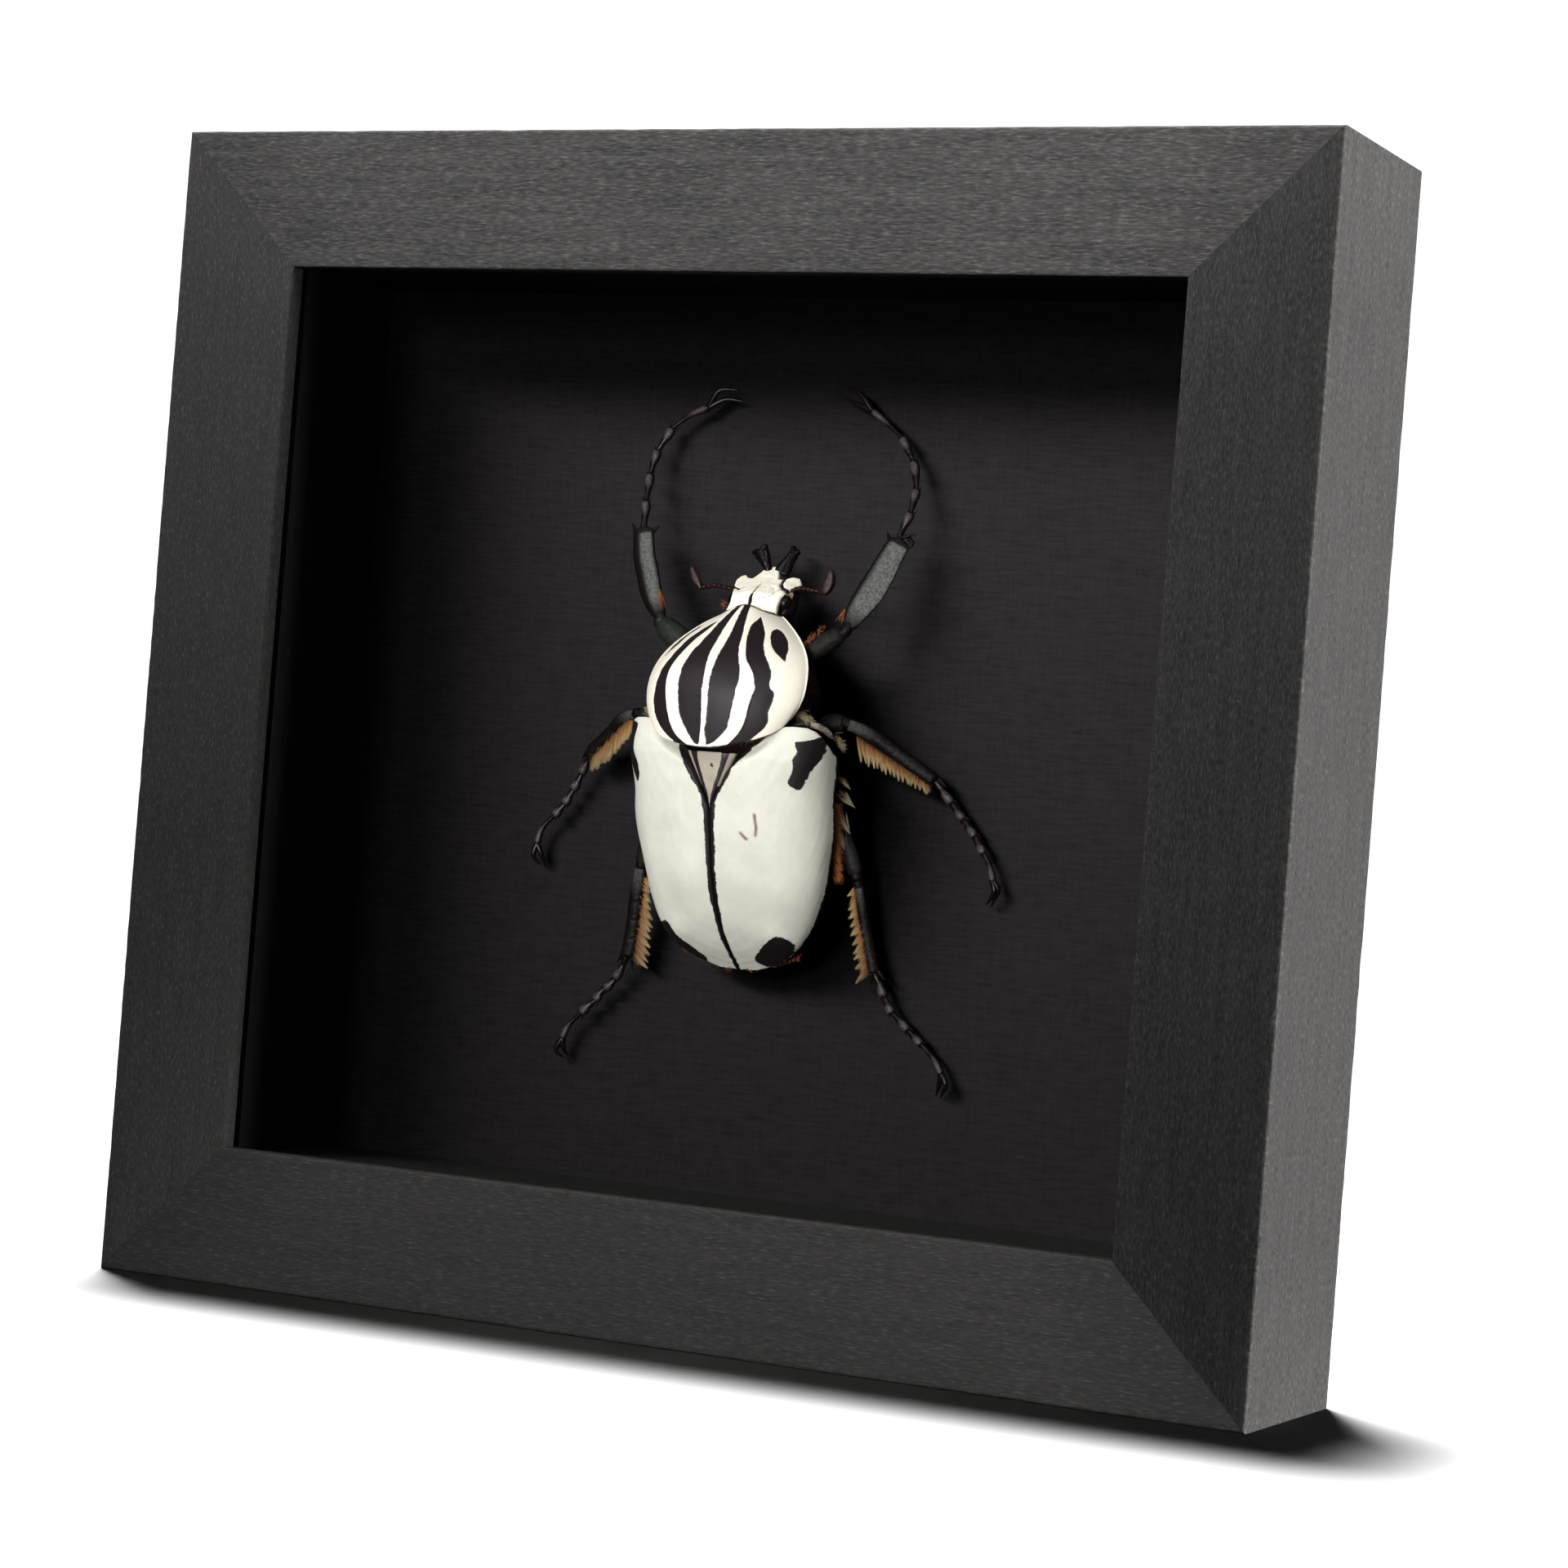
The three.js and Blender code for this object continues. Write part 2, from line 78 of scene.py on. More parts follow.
def linear(hexText, alpha=1.0):
    values = [int(hexText[i:i + 2], 16) / 255 for i in (1, 3, 5)]
    return [v / 12.92 if v <= 0.04045 else ((v + 0.055) / 1.055) ** 2.4 for v in values] + [alpha]


def addNode(tree, kind, settings=None, links=None):
    node = tree.nodes.new(kind)
    for key, value in (settings or {}).items():
        if isinstance(key, str) and hasattr(node, key):
            setattr(node, key, value)
        else:
            node.inputs[key].default_value = value
    for key, source in (links or {}).items():
        socket = source.outputs[0] if isinstance(source, bpy.types.Node) else source
        tree.links.new(socket, node.inputs[key])
    return node


def newMaterial(name, settings):
    material = bpy.data.materials.new(name)
    material.use_nodes = True
    tree = material.node_tree
    tree.nodes.clear()
    shader = addNode(tree, "ShaderNodeBsdfPrincipled", settings)
    addNode(tree, "ShaderNodeOutputMaterial", links={"Surface": shader})
    return material, tree, shader


def perMm(size):
    return 1000 / size  # texture scale for a pattern of this size, in millimetres


def ownPlace(tree):
    return addNode(tree, "ShaderNodeTexCoord").outputs["Object"]


def attribute(tree, name):
    return addNode(tree, "ShaderNodeAttribute", {"attribute_name": name}).outputs["Fac"]


def stretched(tree, place, scale):
    return addNode(tree, "ShaderNodeVectorMath", {"operation": "MULTIPLY", 1: scale}, {0: place})


def noise(tree, place, scale, detail, rough=0.5):
    settings = {"Scale": scale, "Detail": detail, "Roughness": rough}
    return addNode(tree, "ShaderNodeTexNoise", settings, {"Vector": place})


def ramp(tree, source, fromLow, fromHigh, low=0.0, high=1.0):
    return addNode(tree, "ShaderNodeMapRange", {1: fromLow, 2: fromHigh, 3: low, 4: high}, {0: source})


def calc(tree, operation, *terms):
    numbers = {i: term for i, term in enumerate(terms) if isinstance(term, float)}
    sources = {i: term for i, term in enumerate(terms) if not isinstance(term, float)}
    return addNode(tree, "ShaderNodeMath", {"operation": operation, **numbers}, sources)


# Mixes two colours, each a hex text or the socket that it comes from.
def blend(tree, share, low, high):
    mixer = addNode(tree, "ShaderNodeMix", {"data_type": "RGBA"}, {0: share})
    for place, colour in ((6, low), (7, high)):
        if isinstance(colour, str):
            mixer.inputs[place].default_value = linear(colour)
        else:
            tree.links.new(colour, mixer.inputs[place])
    return mixer.outputs[2]


def dress(tree, shader, colour, height=None, strength=0.3, distance=0.0001, rough=None):
    tree.links.new(colour, shader.inputs["Base Color"])
    if rough is not None:
        tree.links.new(rough.outputs[0], shader.inputs["Roughness"])
    if height is not None:
        bump = addNode(tree, "ShaderNodeBump", {"Strength": strength, "Distance": distance},
                       {"Height": height})
        tree.links.new(bump.outputs[0], shader.inputs["Normal"])


# Light: a wide soft box high on the left, a weak one in front, one overhead for the floor, one far right.
# The left one is turned up so that its beam fades downwards. The beetle has three lights of its own.
studio = {
    "world": 0.005,
    "key": {"place": (-0.58, -0.69, 0.78), "size": (1.0, 0.6), "power": 12.0, "lift": 0.58, "spread": 60},
    "front": {"place": (-0.17, -0.89, 0.27), "size": (0.18, 0.18), "power": 0.6},
    "beetle": {"place": (-0.45, -0.68, 0.62), "size": (0.6, 0.5), "power": 2.8},
    "fill": {"place": (0.45, -0.6, 0.66), "size": (0.4, 0.4), "power": 2.0},
    "low": {"place": (0.02, -0.75, 0.03), "size": (0.4, 0.3), "power": 7.5},
    "top": {"place": (-0.34, 0.42, 3.0), "size": (0.4, 0.4), "power": 165.0},
    "side": {"place": (0.9, 0.12, 0.2), "size": (0.4, 0.4), "power": 25.0},
}
world = bpy.data.worlds.new("white_room")
world.use_nodes = True
world.node_tree.nodes.clear()
lightPath = addNode(world.node_tree, "ShaderNodeLightPath")
roomLevel = addNode(world.node_tree, "ShaderNodeMapRange", {3: studio["world"], 4: 1.2},
                    {0: lightPath.outputs["Is Camera Ray"]})
roomLight = addNode(world.node_tree, "ShaderNodeBackground", {"Color": (1, 1, 1, 1)}, {"Strength": roomLevel})
addNode(world.node_tree, "ShaderNodeOutputWorld", links={"Surface": roomLight})
scene.world = world
scene.view_settings.view_transform = "Standard"
scene.view_settings.look = "None"
aim = np.array([0, 0, 0.078])
for name in ("key", "front", "beetle", "fill", "low", "top", "side"):
    light = studio[name]
    data = bpy.data.lights.new(name + "_light", "AREA")
    data.shape = "RECTANGLE"
    data.size, data.size_y = light["size"]
    data.energy = light["power"]
    data.spread = math.radians(light.get("spread", 180))
    lamp = bpy.data.objects.new(name + "_light", data)
    back = np.array(light["place"]) - aim - (0, 0, light.get("lift", 0))
    back = back / np.linalg.norm(back)
    across = np.cross((0, 0, 1), back)
    across = across / np.linalg.norm(across)
    lift = np.cross(back, across)
    lamp.matrix_world = Matrix([[across[i], lift[i], back[i], light["place"][i]] for i in range(3)]
                               + [[0, 0, 0, 1]])
    scene.collection.objects.link(lamp)

floorMesh = bpy.data.meshes.new("floor")
floorMesh.from_pydata([(-0.5, -0.42, 0), (0.5, -0.42, 0), (0.5, 0.4, 0), (-0.5, 0.4, 0)], [], [(0, 1, 2, 3)])
floor = bpy.data.objects.new("floor", floorMesh)
scene.collection.objects.link(floor)
paper, tree, shader = newMaterial("white_paper_sweep",
                                  {"Base Color": (0.93, 0.93, 0.93, 1), "Roughness": 0.9})
floorMesh.materials.append(paper)
floor.visible_diffuse = False  # the sweep throws no light back up into the box
floor.visible_glossy = False
flagged = bpy.data.collections.new("flagged_from_floor")  # all but the overhead light are kept off the sweep
flagged.objects.link(floor)
flagged.collection_objects[0].light_linking.link_state = "EXCLUDE"
for name in ("front_light", "side_light"):
    bpy.data.objects[name].light_linking.receiver_collection = flagged
beetleOnly = bpy.data.collections.new("lit_as_beetle")
notBeetle = bpy.data.collections.new("flagged_from_beetle")  # filled as the pieces are made
notBeetle.objects.link(floor)
bpy.data.objects["key_light"].light_linking.receiver_collection = notBeetle
for name in ("beetle_light", "fill_light", "low_light"):
    bpy.data.objects[name].light_linking.receiver_collection = beetleOnly
print("camera, light and floor set")


# Ash, planed, open pored and stained black: near black flats with short paler dashes along the pores.
stain = {"deep": "#242424", "flat": "#514f4e", "dash": "#8a8986", "dust": "#b5b3aa", "worn": "#4d4a45"}
stainedAsh, tree, shader = newMaterial("black_stained_ash",
                                       {"Roughness": 0.7, "IOR": 1.5, "Specular IOR Level": 0.15})
grain = addNode(tree, "ShaderNodeAttribute", {"attribute_name": "grain"}).outputs["Vector"]
tone = attribute(tree, "tone")  # painted light: each rail is made lighter or darker as the lamps fall on it
raised = attribute(tree, "raised")  # how far the grain stands out on each rail
# 0.15 mm pores, drawn wider to show
dashes = noise(tree, stretched(tree, grain, (0.7, 4.2, 4.2)), 1.0, 3.0, 0.6)
bands = noise(tree, stretched(tree, grain, (0.06, 0.9, 0.9)), 1.0, 4.0)
grainLevel = calc(tree, "ADD", ramp(tree, bands, 0.3, 0.7, 0.0, 0.3),
                  ramp(tree, dashes, 0.34, 0.66, 0.0, 0.7))
raisedLevel = addNode(tree, "ShaderNodeMix", {2: 0.48}, {0: raised, 3: grainLevel})
bandColour = blend(tree, raisedLevel, stain["deep"], stain["flat"])
bandPaintedLight = addNode(tree, "ShaderNodeVectorMath", {"operation": "SCALE"},
                   {0: bandColour, "Scale": tone}).outputs[0]
# the paler dashes also show more where the painted light is brighter
dashShare = calc(tree, "MULTIPLY", ramp(tree, dashes, 0.58, 0.72, 0.0, 0.5),
                 ramp(tree, tone, 0.6, 1.6, 0.2, 1.0))
dashColour = blend(tree, dashShare, bandPaintedLight, stain["dash"])
motes = addNode(tree, "ShaderNodeTexVoronoi", {"Scale": 0.75, "Randomness": 1.0}, {"Vector": grain})
moteKeep = calc(tree, "GREATER_THAN", motes.outputs["Color"], 0.72)
moteShare = calc(tree, "MULTIPLY", ramp(tree, motes.outputs["Distance"], 0.03, 0.06, 0.6, 0.0), moteKeep)
moteColour = blend(tree, moteShare, dashColour, stain["dust"])
wornLevel = ramp(tree, noise(tree, grain, 0.8, 4.0), 0.52, 0.68, 0.0, 0.8)
wornShare = calc(tree, "MULTIPLY", wornLevel, attribute(tree, "worn"))
dress(tree, shader, blend(tree, wornShare, moteColour, stain["worn"]), dashes, 0.35, 0.0002)

# The same stain on the thin inner strips: flat black with a faint vertical streak and settled dust.
strip = {"deep": "#171717", "flat": "#333231", "dust": "#4d4b48"}
innerStain, tree, shader = newMaterial("black_stained_strip", {"Roughness": 0.8, "Specular IOR Level": 0.2})
place = ownPlace(tree)
streaks = noise(tree, stretched(tree, place, (perMm(0.6), perMm(0.6), perMm(9))), 1.0, 3.0)
facing = addNode(tree, "ShaderNodeNewGeometry")
facingUp = addNode(tree, "ShaderNodeSeparateXYZ", links={0: facing.outputs["Normal"]})
lintLevel = ramp(tree, noise(tree, place, perMm(0.9), 5.0, 0.7), 0.42, 0.75, 0.1, 0.9)
lintShare = calc(tree, "MULTIPLY", lintLevel, facingUp.outputs["Z"])
lintShare.use_clamp = True
stripColour = blend(tree, streaks, strip["deep"], strip["flat"])
dress(tree, shader, blend(tree, lintShare, stripColour, strip["dust"]), streaks, 0.3, 0.0002)

# Book linen, plain woven and dyed charcoal: 0.3 mm threads, drawn coarser to show, with slubs.
weave = {"thread": 0.42, "slub": 3.5, "warp": 0.55, "low": "#2c292a", "high": "#3d393a"}
linen, tree, shader = newMaterial("charcoal_book_linen", {"Roughness": 0.9, "Specular IOR Level": 0.15})
place = ownPlace(tree)
thin, slub = perMm(weave["thread"]), perMm(weave["slub"])
warp = noise(tree, stretched(tree, place, (thin, thin, slub)), 1.0, 2.0, 0.6)
weft = noise(tree, stretched(tree, place, (slub, thin, thin)), 1.0, 2.0, 0.6)
crossing = calc(tree, "MULTIPLY_ADD", warp, weave["warp"], weft)  # the weft stands out more
dress(tree, shader, blend(tree, ramp(tree, crossing, 0.45, 1.1), weave["low"], weave["high"]), crossing)

# Float glass with a low reflection coat: almost nothing of the room shows in it.
clear = {"Base Color": (1, 1, 1, 1), "Roughness": 0.0, "IOR": 1.01, "Transmission Weight": 1.0}
glass, tree, shader = newMaterial("coated_float_glass", clear)

# Hardboard, hot pressed from wood fibre: brown with fine flecks.
hardboard, tree, shader = newMaterial("pressed_hardboard", {"Roughness": 0.6})
flecks = noise(tree, ownPlace(tree), perMm(1.2), 6.0, 0.7)
dress(tree, shader, blend(tree, flecks, "#4a3120", "#8a6543"), flecks, 0.25, 0.0002)

# Steel sheet, stamped and zinc plated: grey metal, cloudy with small spangles.
zinc, tree, shader = newMaterial("zinc_plated_steel", {"Metallic": 1.0})
spangle = addNode(tree, "ShaderNodeTexVoronoi", {"Scale": perMm(1.5)},
                  {"Vector": ownPlace(tree)}).outputs["Distance"]
dress(tree, shader, blend(tree, spangle, "#b9b7af", "#cbc9c2"),
      rough=ramp(tree, spangle, 0.0, 1.0, 0.38, 0.46))


# Beetle shell: grown chitin with a powdery pale layer, bare black areas with ragged edges, brown scars.
def shellMaterial(name, finish):
    material, tree, shader = newMaterial(name, {"IOR": 1.55, "Specular IOR Level": 0.3})
    place = ownPlace(tree)
    raggedNoise = noise(tree, place, perMm(finish["raggedSize"]), 3.0, 0.65)
    ragged = ramp(tree, raggedNoise, 0.25, 0.75, -finish["ragged"], finish["ragged"])
    dark = ramp(tree, calc(tree, "ADD", attribute(tree, "mark"), ragged), -0.05, 0.05)
    pale = blend(tree, noise(tree, place, perMm(5), 4.0, 0.6), finish["pale"], finish["paleShade"])
    speck = noise(tree, place, perMm(0.7), 5.0, 0.7)
    specked = blend(tree, ramp(tree, speck, 0.64, 0.74, 0.0, finish["specks"]), pale, finish["speck"])
    scarred = blend(tree, attribute(tree, "scar"), specked, "#6e3b2e")
    black = blend(tree, speck, finish["black"], finish["blackShade"])
    rough = ramp(tree, dark, 0.0, 1.0, finish["paleRough"], finish["blackRough"])
    level = calc(tree, "MULTIPLY_ADD", dark, -0.6, speck)  # the black lies a little lower
    dress(tree, shader, blend(tree, dark, scarred, black), level, 0.25, rough=rough)
    return material


whiteShell = shellMaterial("powdered_white_chitin", {
    "pale": "#e6e4d7", "paleShade": "#bfbfb2", "speck": "#aeac9d", "specks": 0.6, "black": "#0b0808",
    "blackShade": "#1a1213", "paleRough": 0.5, "blackRough": 0.6, "ragged": 0.16, "raggedSize": 0.7})
creamShell = shellMaterial("powdered_cream_chitin", {
    "pale": "#fffaec", "paleShade": "#faf2dd", "speck": "#dccfae", "specks": 0.3, "black": "#150f10",
    "blackShade": "#241a1d", "paleRough": 0.4, "blackRough": 0.55, "ragged": 0.09, "raggedSize": 0.8})
beigeShell = shellMaterial("bare_beige_chitin", {
    "pale": "#b5ab9b", "paleShade": "#90867a", "speck": "#5d5349", "specks": 0.5, "black": "#150f10",
    "blackShade": "#241a1d", "paleRough": 0.45, "blackRough": 0.5, "ragged": 0.08, "raggedSize": 0.8})


# Bare chitin of the limbs: black brown, polished on the joints, dull and grey where the powder is left. The
# same grey is also painted on as highlights on the feet, the feeler clubs and the mid and hind shins.
def limbMaterial(name, finish):
    material, tree, shader = newMaterial(name, {"IOR": 1.56, "Specular IOR Level": finish["gloss"]})
    place = ownPlace(tree)
    base = blend(tree, noise(tree, place, perMm(finish["size"]), 4.0, 0.65), finish["dark"], finish["light"])
    fine = noise(tree, place, perMm(0.35), 4.0, 0.7)
    grit = blend(tree, ramp(tree, fine, 0.32, 0.68), finish["gritDark"], finish["gritLight"])
    powder = attribute(tree, "powder")
    rough = ramp(tree, powder, 0.0, 1.0, finish["rough"], 0.7)
    dress(tree, shader, blend(tree, powder, base, grit), fine, finish["bump"], rough=rough)
    return material


polishedLimb = limbMaterial("polished_black_chitin", {
    "dark": "#070505", "light": "#160f0f", "gritDark": "#4a3f3f", "gritLight": "#8d8080",
    "size": 1.2, "rough": 0.26, "gloss": 0.12, "bump": 0.15})
pittedLimb = limbMaterial("pitted_black_chitin", {
    "dark": "#060505", "light": "#140f0d", "gritDark": "#3a3a38", "gritLight": "#686966",
    "size": 0.8, "rough": 0.45, "gloss": 0.08, "bump": 0.6})
greenLimb = limbMaterial("dull_green_chitin", {
    "dark": "#0a0c09", "light": "#1a1f18", "gritDark": "#181d17", "gritLight": "#3d443a",
    "size": 0.9, "rough": 0.4, "gloss": 0.15, "bump": 0.5})
redLimb = limbMaterial("red_brown_chitin", {
    "dark": "#0d0706", "light": "#2b1712", "gritDark": "#1e1818", "gritLight": "#5f5454",
    "size": 0.6, "rough": 0.3, "gloss": 0.14, "bump": 0.2})
brownBody = limbMaterial("brown_body_chitin", {
    "dark": "#0d0806", "light": "#2c180e", "gritDark": "#3a2416", "gritLight": "#6b4a30",
    "size": 1.0, "rough": 0.6, "gloss": 0.2, "bump": 0.8})


# Hair: tapered bristles, dark at the root, lighter and golden to the tip.
def hairMaterial(name, root, middle, tip):
    material, tree, shader = newMaterial(name, {"Roughness": 0.48, "IOR": 1.55})
    along = attribute(tree, "along")
    lower = blend(tree, ramp(tree, along, 0.04, 0.36), root, middle)
    whole = blend(tree, ramp(tree, along, 0.4, 0.95), lower, tip)
    shade = ramp(tree, attribute(tree, "strand"), 0.0, 1.0, 0.34, 1.05)
    colour = addNode(tree, "ShaderNodeVectorMath", {"operation": "SCALE"}, {0: whole, "Scale": shade})
    dress(tree, shader, colour.outputs[0])
    return material


goldenHair = hairMaterial("golden_bristle", "#3d1f09", "#b0763a", "#f2d8a2")
rustHair = hairMaterial("rust_bristle", "#4a1f0a", "#a2521f", "#c8803e")
fawnHair = hairMaterial("fawn_bristle", "#4b3a26", "#a08a64", "#ded0a8")
print("materials made")

boardFace = 11.25  # mm, the board's front in the frame's depth
middleUp = 78.0  # mm, the beetle's middle above the floor


def toFrame(points):
    p = np.asarray(points, float)
    return np.stack([p[..., 0], boardFace - p[..., 2], middleUp + p[..., 1]], -1) * 0.001


def smooth(x, low, high):
    k = np.clip((np.asarray(x, float) - low) / (high - low), 0, 1)
    return k * k * (3 - 2 * k)


def mix(a, b, share):
    return a + (b - a) * share


def unit(vectors):
    vectors = np.asarray(vectors, float)
    return vectors / np.maximum(np.linalg.norm(vectors, axis=-1, keepdims=True), 1e-9)


def ripple(points, size, seed):
    rng = np.random.default_rng(seed)
    total = 0
    for _ in range(10):
        wave = unit(rng.normal(size=3)) * 2 * math.pi / (size * rng.uniform(0.7, 1.5))
        total = total + np.sin(np.asarray(points) @ wave + rng.uniform(0, 2 * math.pi))
    return total / 10 ** 0.5


def makePiece(name, shape, material, replaced=(), inFrame=False):
    points, faces, values = shape
    mesh = bpy.data.meshes.new(name)
    mesh.from_pydata((np.asarray(points) * 0.001 if inFrame else toFrame(points)).tolist(), [], faces)
    for key, data in values.items():
        data = np.asarray(data, np.float32)
        if data.ndim == 1:
            mesh.attributes.new(key, "FLOAT", "POINT").data.foreach_set("value", data)
        else:
            mesh.attributes.new(key, "FLOAT_VECTOR", "POINT").data.foreach_set("vector", data.ravel())
    grid = bmesh.new()
    grid.from_mesh(mesh)
    bmesh.ops.recalc_face_normals(grid, faces=grid.faces)
    grid.to_mesh(mesh)
    grid.free()
    mesh.polygons.foreach_set("use_smooth", np.ones(len(mesh.polygons), bool))
    mesh.materials.append(material)
    piece = bpy.data.objects.new(name, mesh)
    scene.collection.objects.link(piece)
    if not inFrame:
        beetleOnly.objects.link(piece)
        notBeetle.objects.link(piece)
    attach(piece, "root")
    if replaced:
        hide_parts(*replaced)
    return piece


def joined(shapes):
    points, faces, values, start = [], [], {}, 0
    keys = sorted({key for shape in shapes for key in shape[2]})
    for p, f, v in shapes:
        p = np.asarray(p, float).reshape(-1, 3)
        points.append(p)
        faces += [[i + start for i in face] for face in f]
        for key in keys:
            values.setdefault(key, []).append(np.asarray(v.get(key, np.zeros(len(p))), float))
        start += len(p)
    return np.concatenate(points), faces, {key: np.concatenate(v) for key, v in values.items()}


def gridFaces(rows, cols, start=0, loop=False):
    i, j = np.meshgrid(np.arange(rows - 1), np.arange(cols if loop else cols - 1), indexing="ij")
    k = (j + 1) % cols
    quads = np.stack([i * cols + j, (i + 1) * cols + j, (i + 1) * cols + k, i * cols + k], -1) + start
    return quads.reshape(-1, 4).tolist()


def tubeFaces(rows, cols):
    caps = [list(range(cols)), list(range((rows - 1) * cols, rows * cols))]
    return gridFaces(rows, cols, loop=True) + caps


def spread(rows, cols, low=0):
    return np.meshgrid(np.linspace(0, 1, rows), np.linspace(low, 1, cols), indexing="ij")


def shellShape(outer, inner, values=None):
    rows, cols = outer.shape[:2]
    count = rows * cols
    index = np.arange(count).reshape(rows, cols)
    border = np.concatenate([index[0, :-1], index[:-1, -1], index[-1, :0:-1], index[:0:-1, 0]])
    after = np.roll(border, -1)
    rim = np.stack([border, after, after + count, border + count], -1).tolist()
    points = np.concatenate([outer.reshape(-1, 3), inner.reshape(-1, 3)])
    both = {key: np.concatenate([np.ravel(v), np.ravel(v)]) for key, v in (values or {}).items()}
    return points, gridFaces(rows, cols) + gridFaces(rows, cols, count) + rim, both


def gridNormals(grid):
    down, side = np.gradient(grid, axis=0), np.gradient(grid, axis=1)
    return unit(np.cross(side, down))


def curvePath(points, count):
    p = np.asarray(points, float)
    p = np.concatenate([[2 * p[0] - p[1]], p, [2 * p[-1] - p[-2]]])
    spans = len(p) - 3
    fine = []
    for k in np.linspace(0, spans, 400):
        i = min(int(k), spans - 1)
        f = k - i
        a, b, c, d = p[i:i + 4]
        fine.append(0.5 * (2 * b + (c - a) * f + (2 * a - 5 * b + 4 * c - d) * f ** 2
                           + (3 * b - a - 3 * c + d) * f ** 3))
    fine = np.array(fine)
    run = np.concatenate([[0], np.cumsum(np.linalg.norm(np.diff(fine, axis=0), axis=1))])
    want = np.linspace(0, run[-1], count)
    return np.stack([np.interp(want, run, fine[:, axis]) for axis in range(3)], -1)


def sweep(path, half, depth, sides=12, values=None, relief=0.0, outward=(0, 0, 1)):
    path = np.asarray(path, float)
    count = len(path)
    half, depth = np.broadcast_to(half, count), np.broadcast_to(depth, count)
    run = unit(np.gradient(path, axis=0))
    side = unit(np.cross(run, outward))
    lift = np.cross(side, run)
    angle = np.linspace(0, 2 * math.pi, sides, endpoint=False)
    reach = (side[:, None] * (half[:, None] * np.cos(angle))[..., None]
             + lift[:, None] * (depth[:, None] * np.sin(angle))[..., None])
    ring = path[:, None] + reach
    if relief:
        ring = ring + reach * (relief * ripple(ring, 0.9, 17))[..., None]  # small dents and bosses
    faces = tubeFaces(count, sides)
    part = np.linspace(0, 1, count)[:, None]
    given = {key: np.broadcast_to(v(part, angle[None, :]), (count, sides))
             for key, v in (values or {}).items()}
    return ring.reshape(-1, 3), faces, {key: v.ravel() for key, v in given.items()}


def bristles(roots, tips, bow, thick, rng, steps=4):
    roots, tips, bow = (np.asarray(v, float) for v in (roots, tips, bow))
    count = len(roots)
    k = np.linspace(0, 1, steps + 1)
    path = (roots[:, None] * (1 - k)[:, None] + tips[:, None] * k[:, None]
            + bow[:, None] * (4 * k * (1 - k))[:, None])
    run = unit(np.gradient(path, axis=1))
    side = unit(np.cross(run, (0.31, 0.22, 0.93)))
    lift = np.cross(side, run)
    angle = np.arange(3) * 2 * math.pi / 3
    width = np.asarray(thick, float)[:, None] * (1 - 0.88 * k ** 1.4)
    ring = (path[:, :, None] + side[:, :, None] * (width[..., None] * np.cos(angle))[..., None]
            + lift[:, :, None] * (width[..., None] * np.sin(angle))[..., None])
    index = np.arange(count * (steps + 1) * 3).reshape(count, steps + 1, 3)
    a, b = index[:, :-1], index[:, 1:]
    quads = np.stack([a, b, np.roll(b, -1, 2), np.roll(a, -1, 2)], -1).reshape(-1, 4).tolist()
    ends = index[:, 0, ::-1].tolist() + index[:, -1].tolist()
    strand = np.repeat(rng.uniform(size=count), (steps + 1) * 3)
    along = np.tile(np.repeat(k, 3), count)
    return ring.reshape(-1, 3), quads + ends, {"along": along, "strand": strand}


def insideDepth(x, y, outline):
    corners = np.asarray(outline, float)
    after = np.roll(corners, -1, 0)
    best = np.full(np.shape(x), 1e9)
    inside = np.zeros(np.shape(x), bool)
    for (ax, ay), (bx, by) in zip(corners, after):
        length = max((bx - ax) ** 2 + (by - ay) ** 2, 1e-9)
        k = np.clip(((x - ax) * (bx - ax) + (y - ay) * (by - ay)) / length, 0, 1)
        best = np.minimum(best, np.hypot(x - ax - k * (bx - ax), y - ay - k * (by - ay)))
        if ay != by:
            inside ^= ((ay > y) != (by > y)) & (x < (bx - ax) * (y - ay) / (by - ay) + ax)
    return np.where(inside, best, -best)


def lineDepth(x, y, line):
    return np.max([insideDepth(x, y, pair) for pair in zip(line[:-1], line[1:])], axis=0)


# A stripe is a few stations joined by a curve: millimetres back, then the places of its two edges.
def stripeDepth(across, back, stations):
    curve = curvePath(stations, 80)
    places = np.maximum.accumulate(curve[:, 0])
    edges = [np.interp(back, places, curve[:, axis]) for axis in (1, 2)]
    within = np.minimum(across - np.minimum(*edges), np.maximum(*edges) - across)
    return np.minimum(within, np.minimum(back - places[0], places[-1] - back))


# Frame rails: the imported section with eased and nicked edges, mitred at 45 degrees.
rail = {"width": 165.0, "height": 156.0, "face": 18.5, "lip": 2.5, "wall": 12.5, "depth": 31.5, "ease": 0.4,
        "joint": 0.02, "steps": 230,
        # tone is painted light: a brightness factor for each rail
        "tone": {"top": 1.75, "bottom": 2.1, "left": 0.95, "right": 0.66},
        "raised": {"top": 1.0, "bottom": 0.45, "left": 0.5, "right": 0.9}}
halfDepth = rail["depth"] / 2
corners = [(0, -halfDepth, 1), (rail["face"], -halfDepth, 0.8), (rail["face"], rail["lip"] - halfDepth, 0.5),
           (rail["wall"], rail["lip"] - halfDepth, 0.3), (rail["wall"], halfDepth, 0.5), (0, halfDepth, 1)]


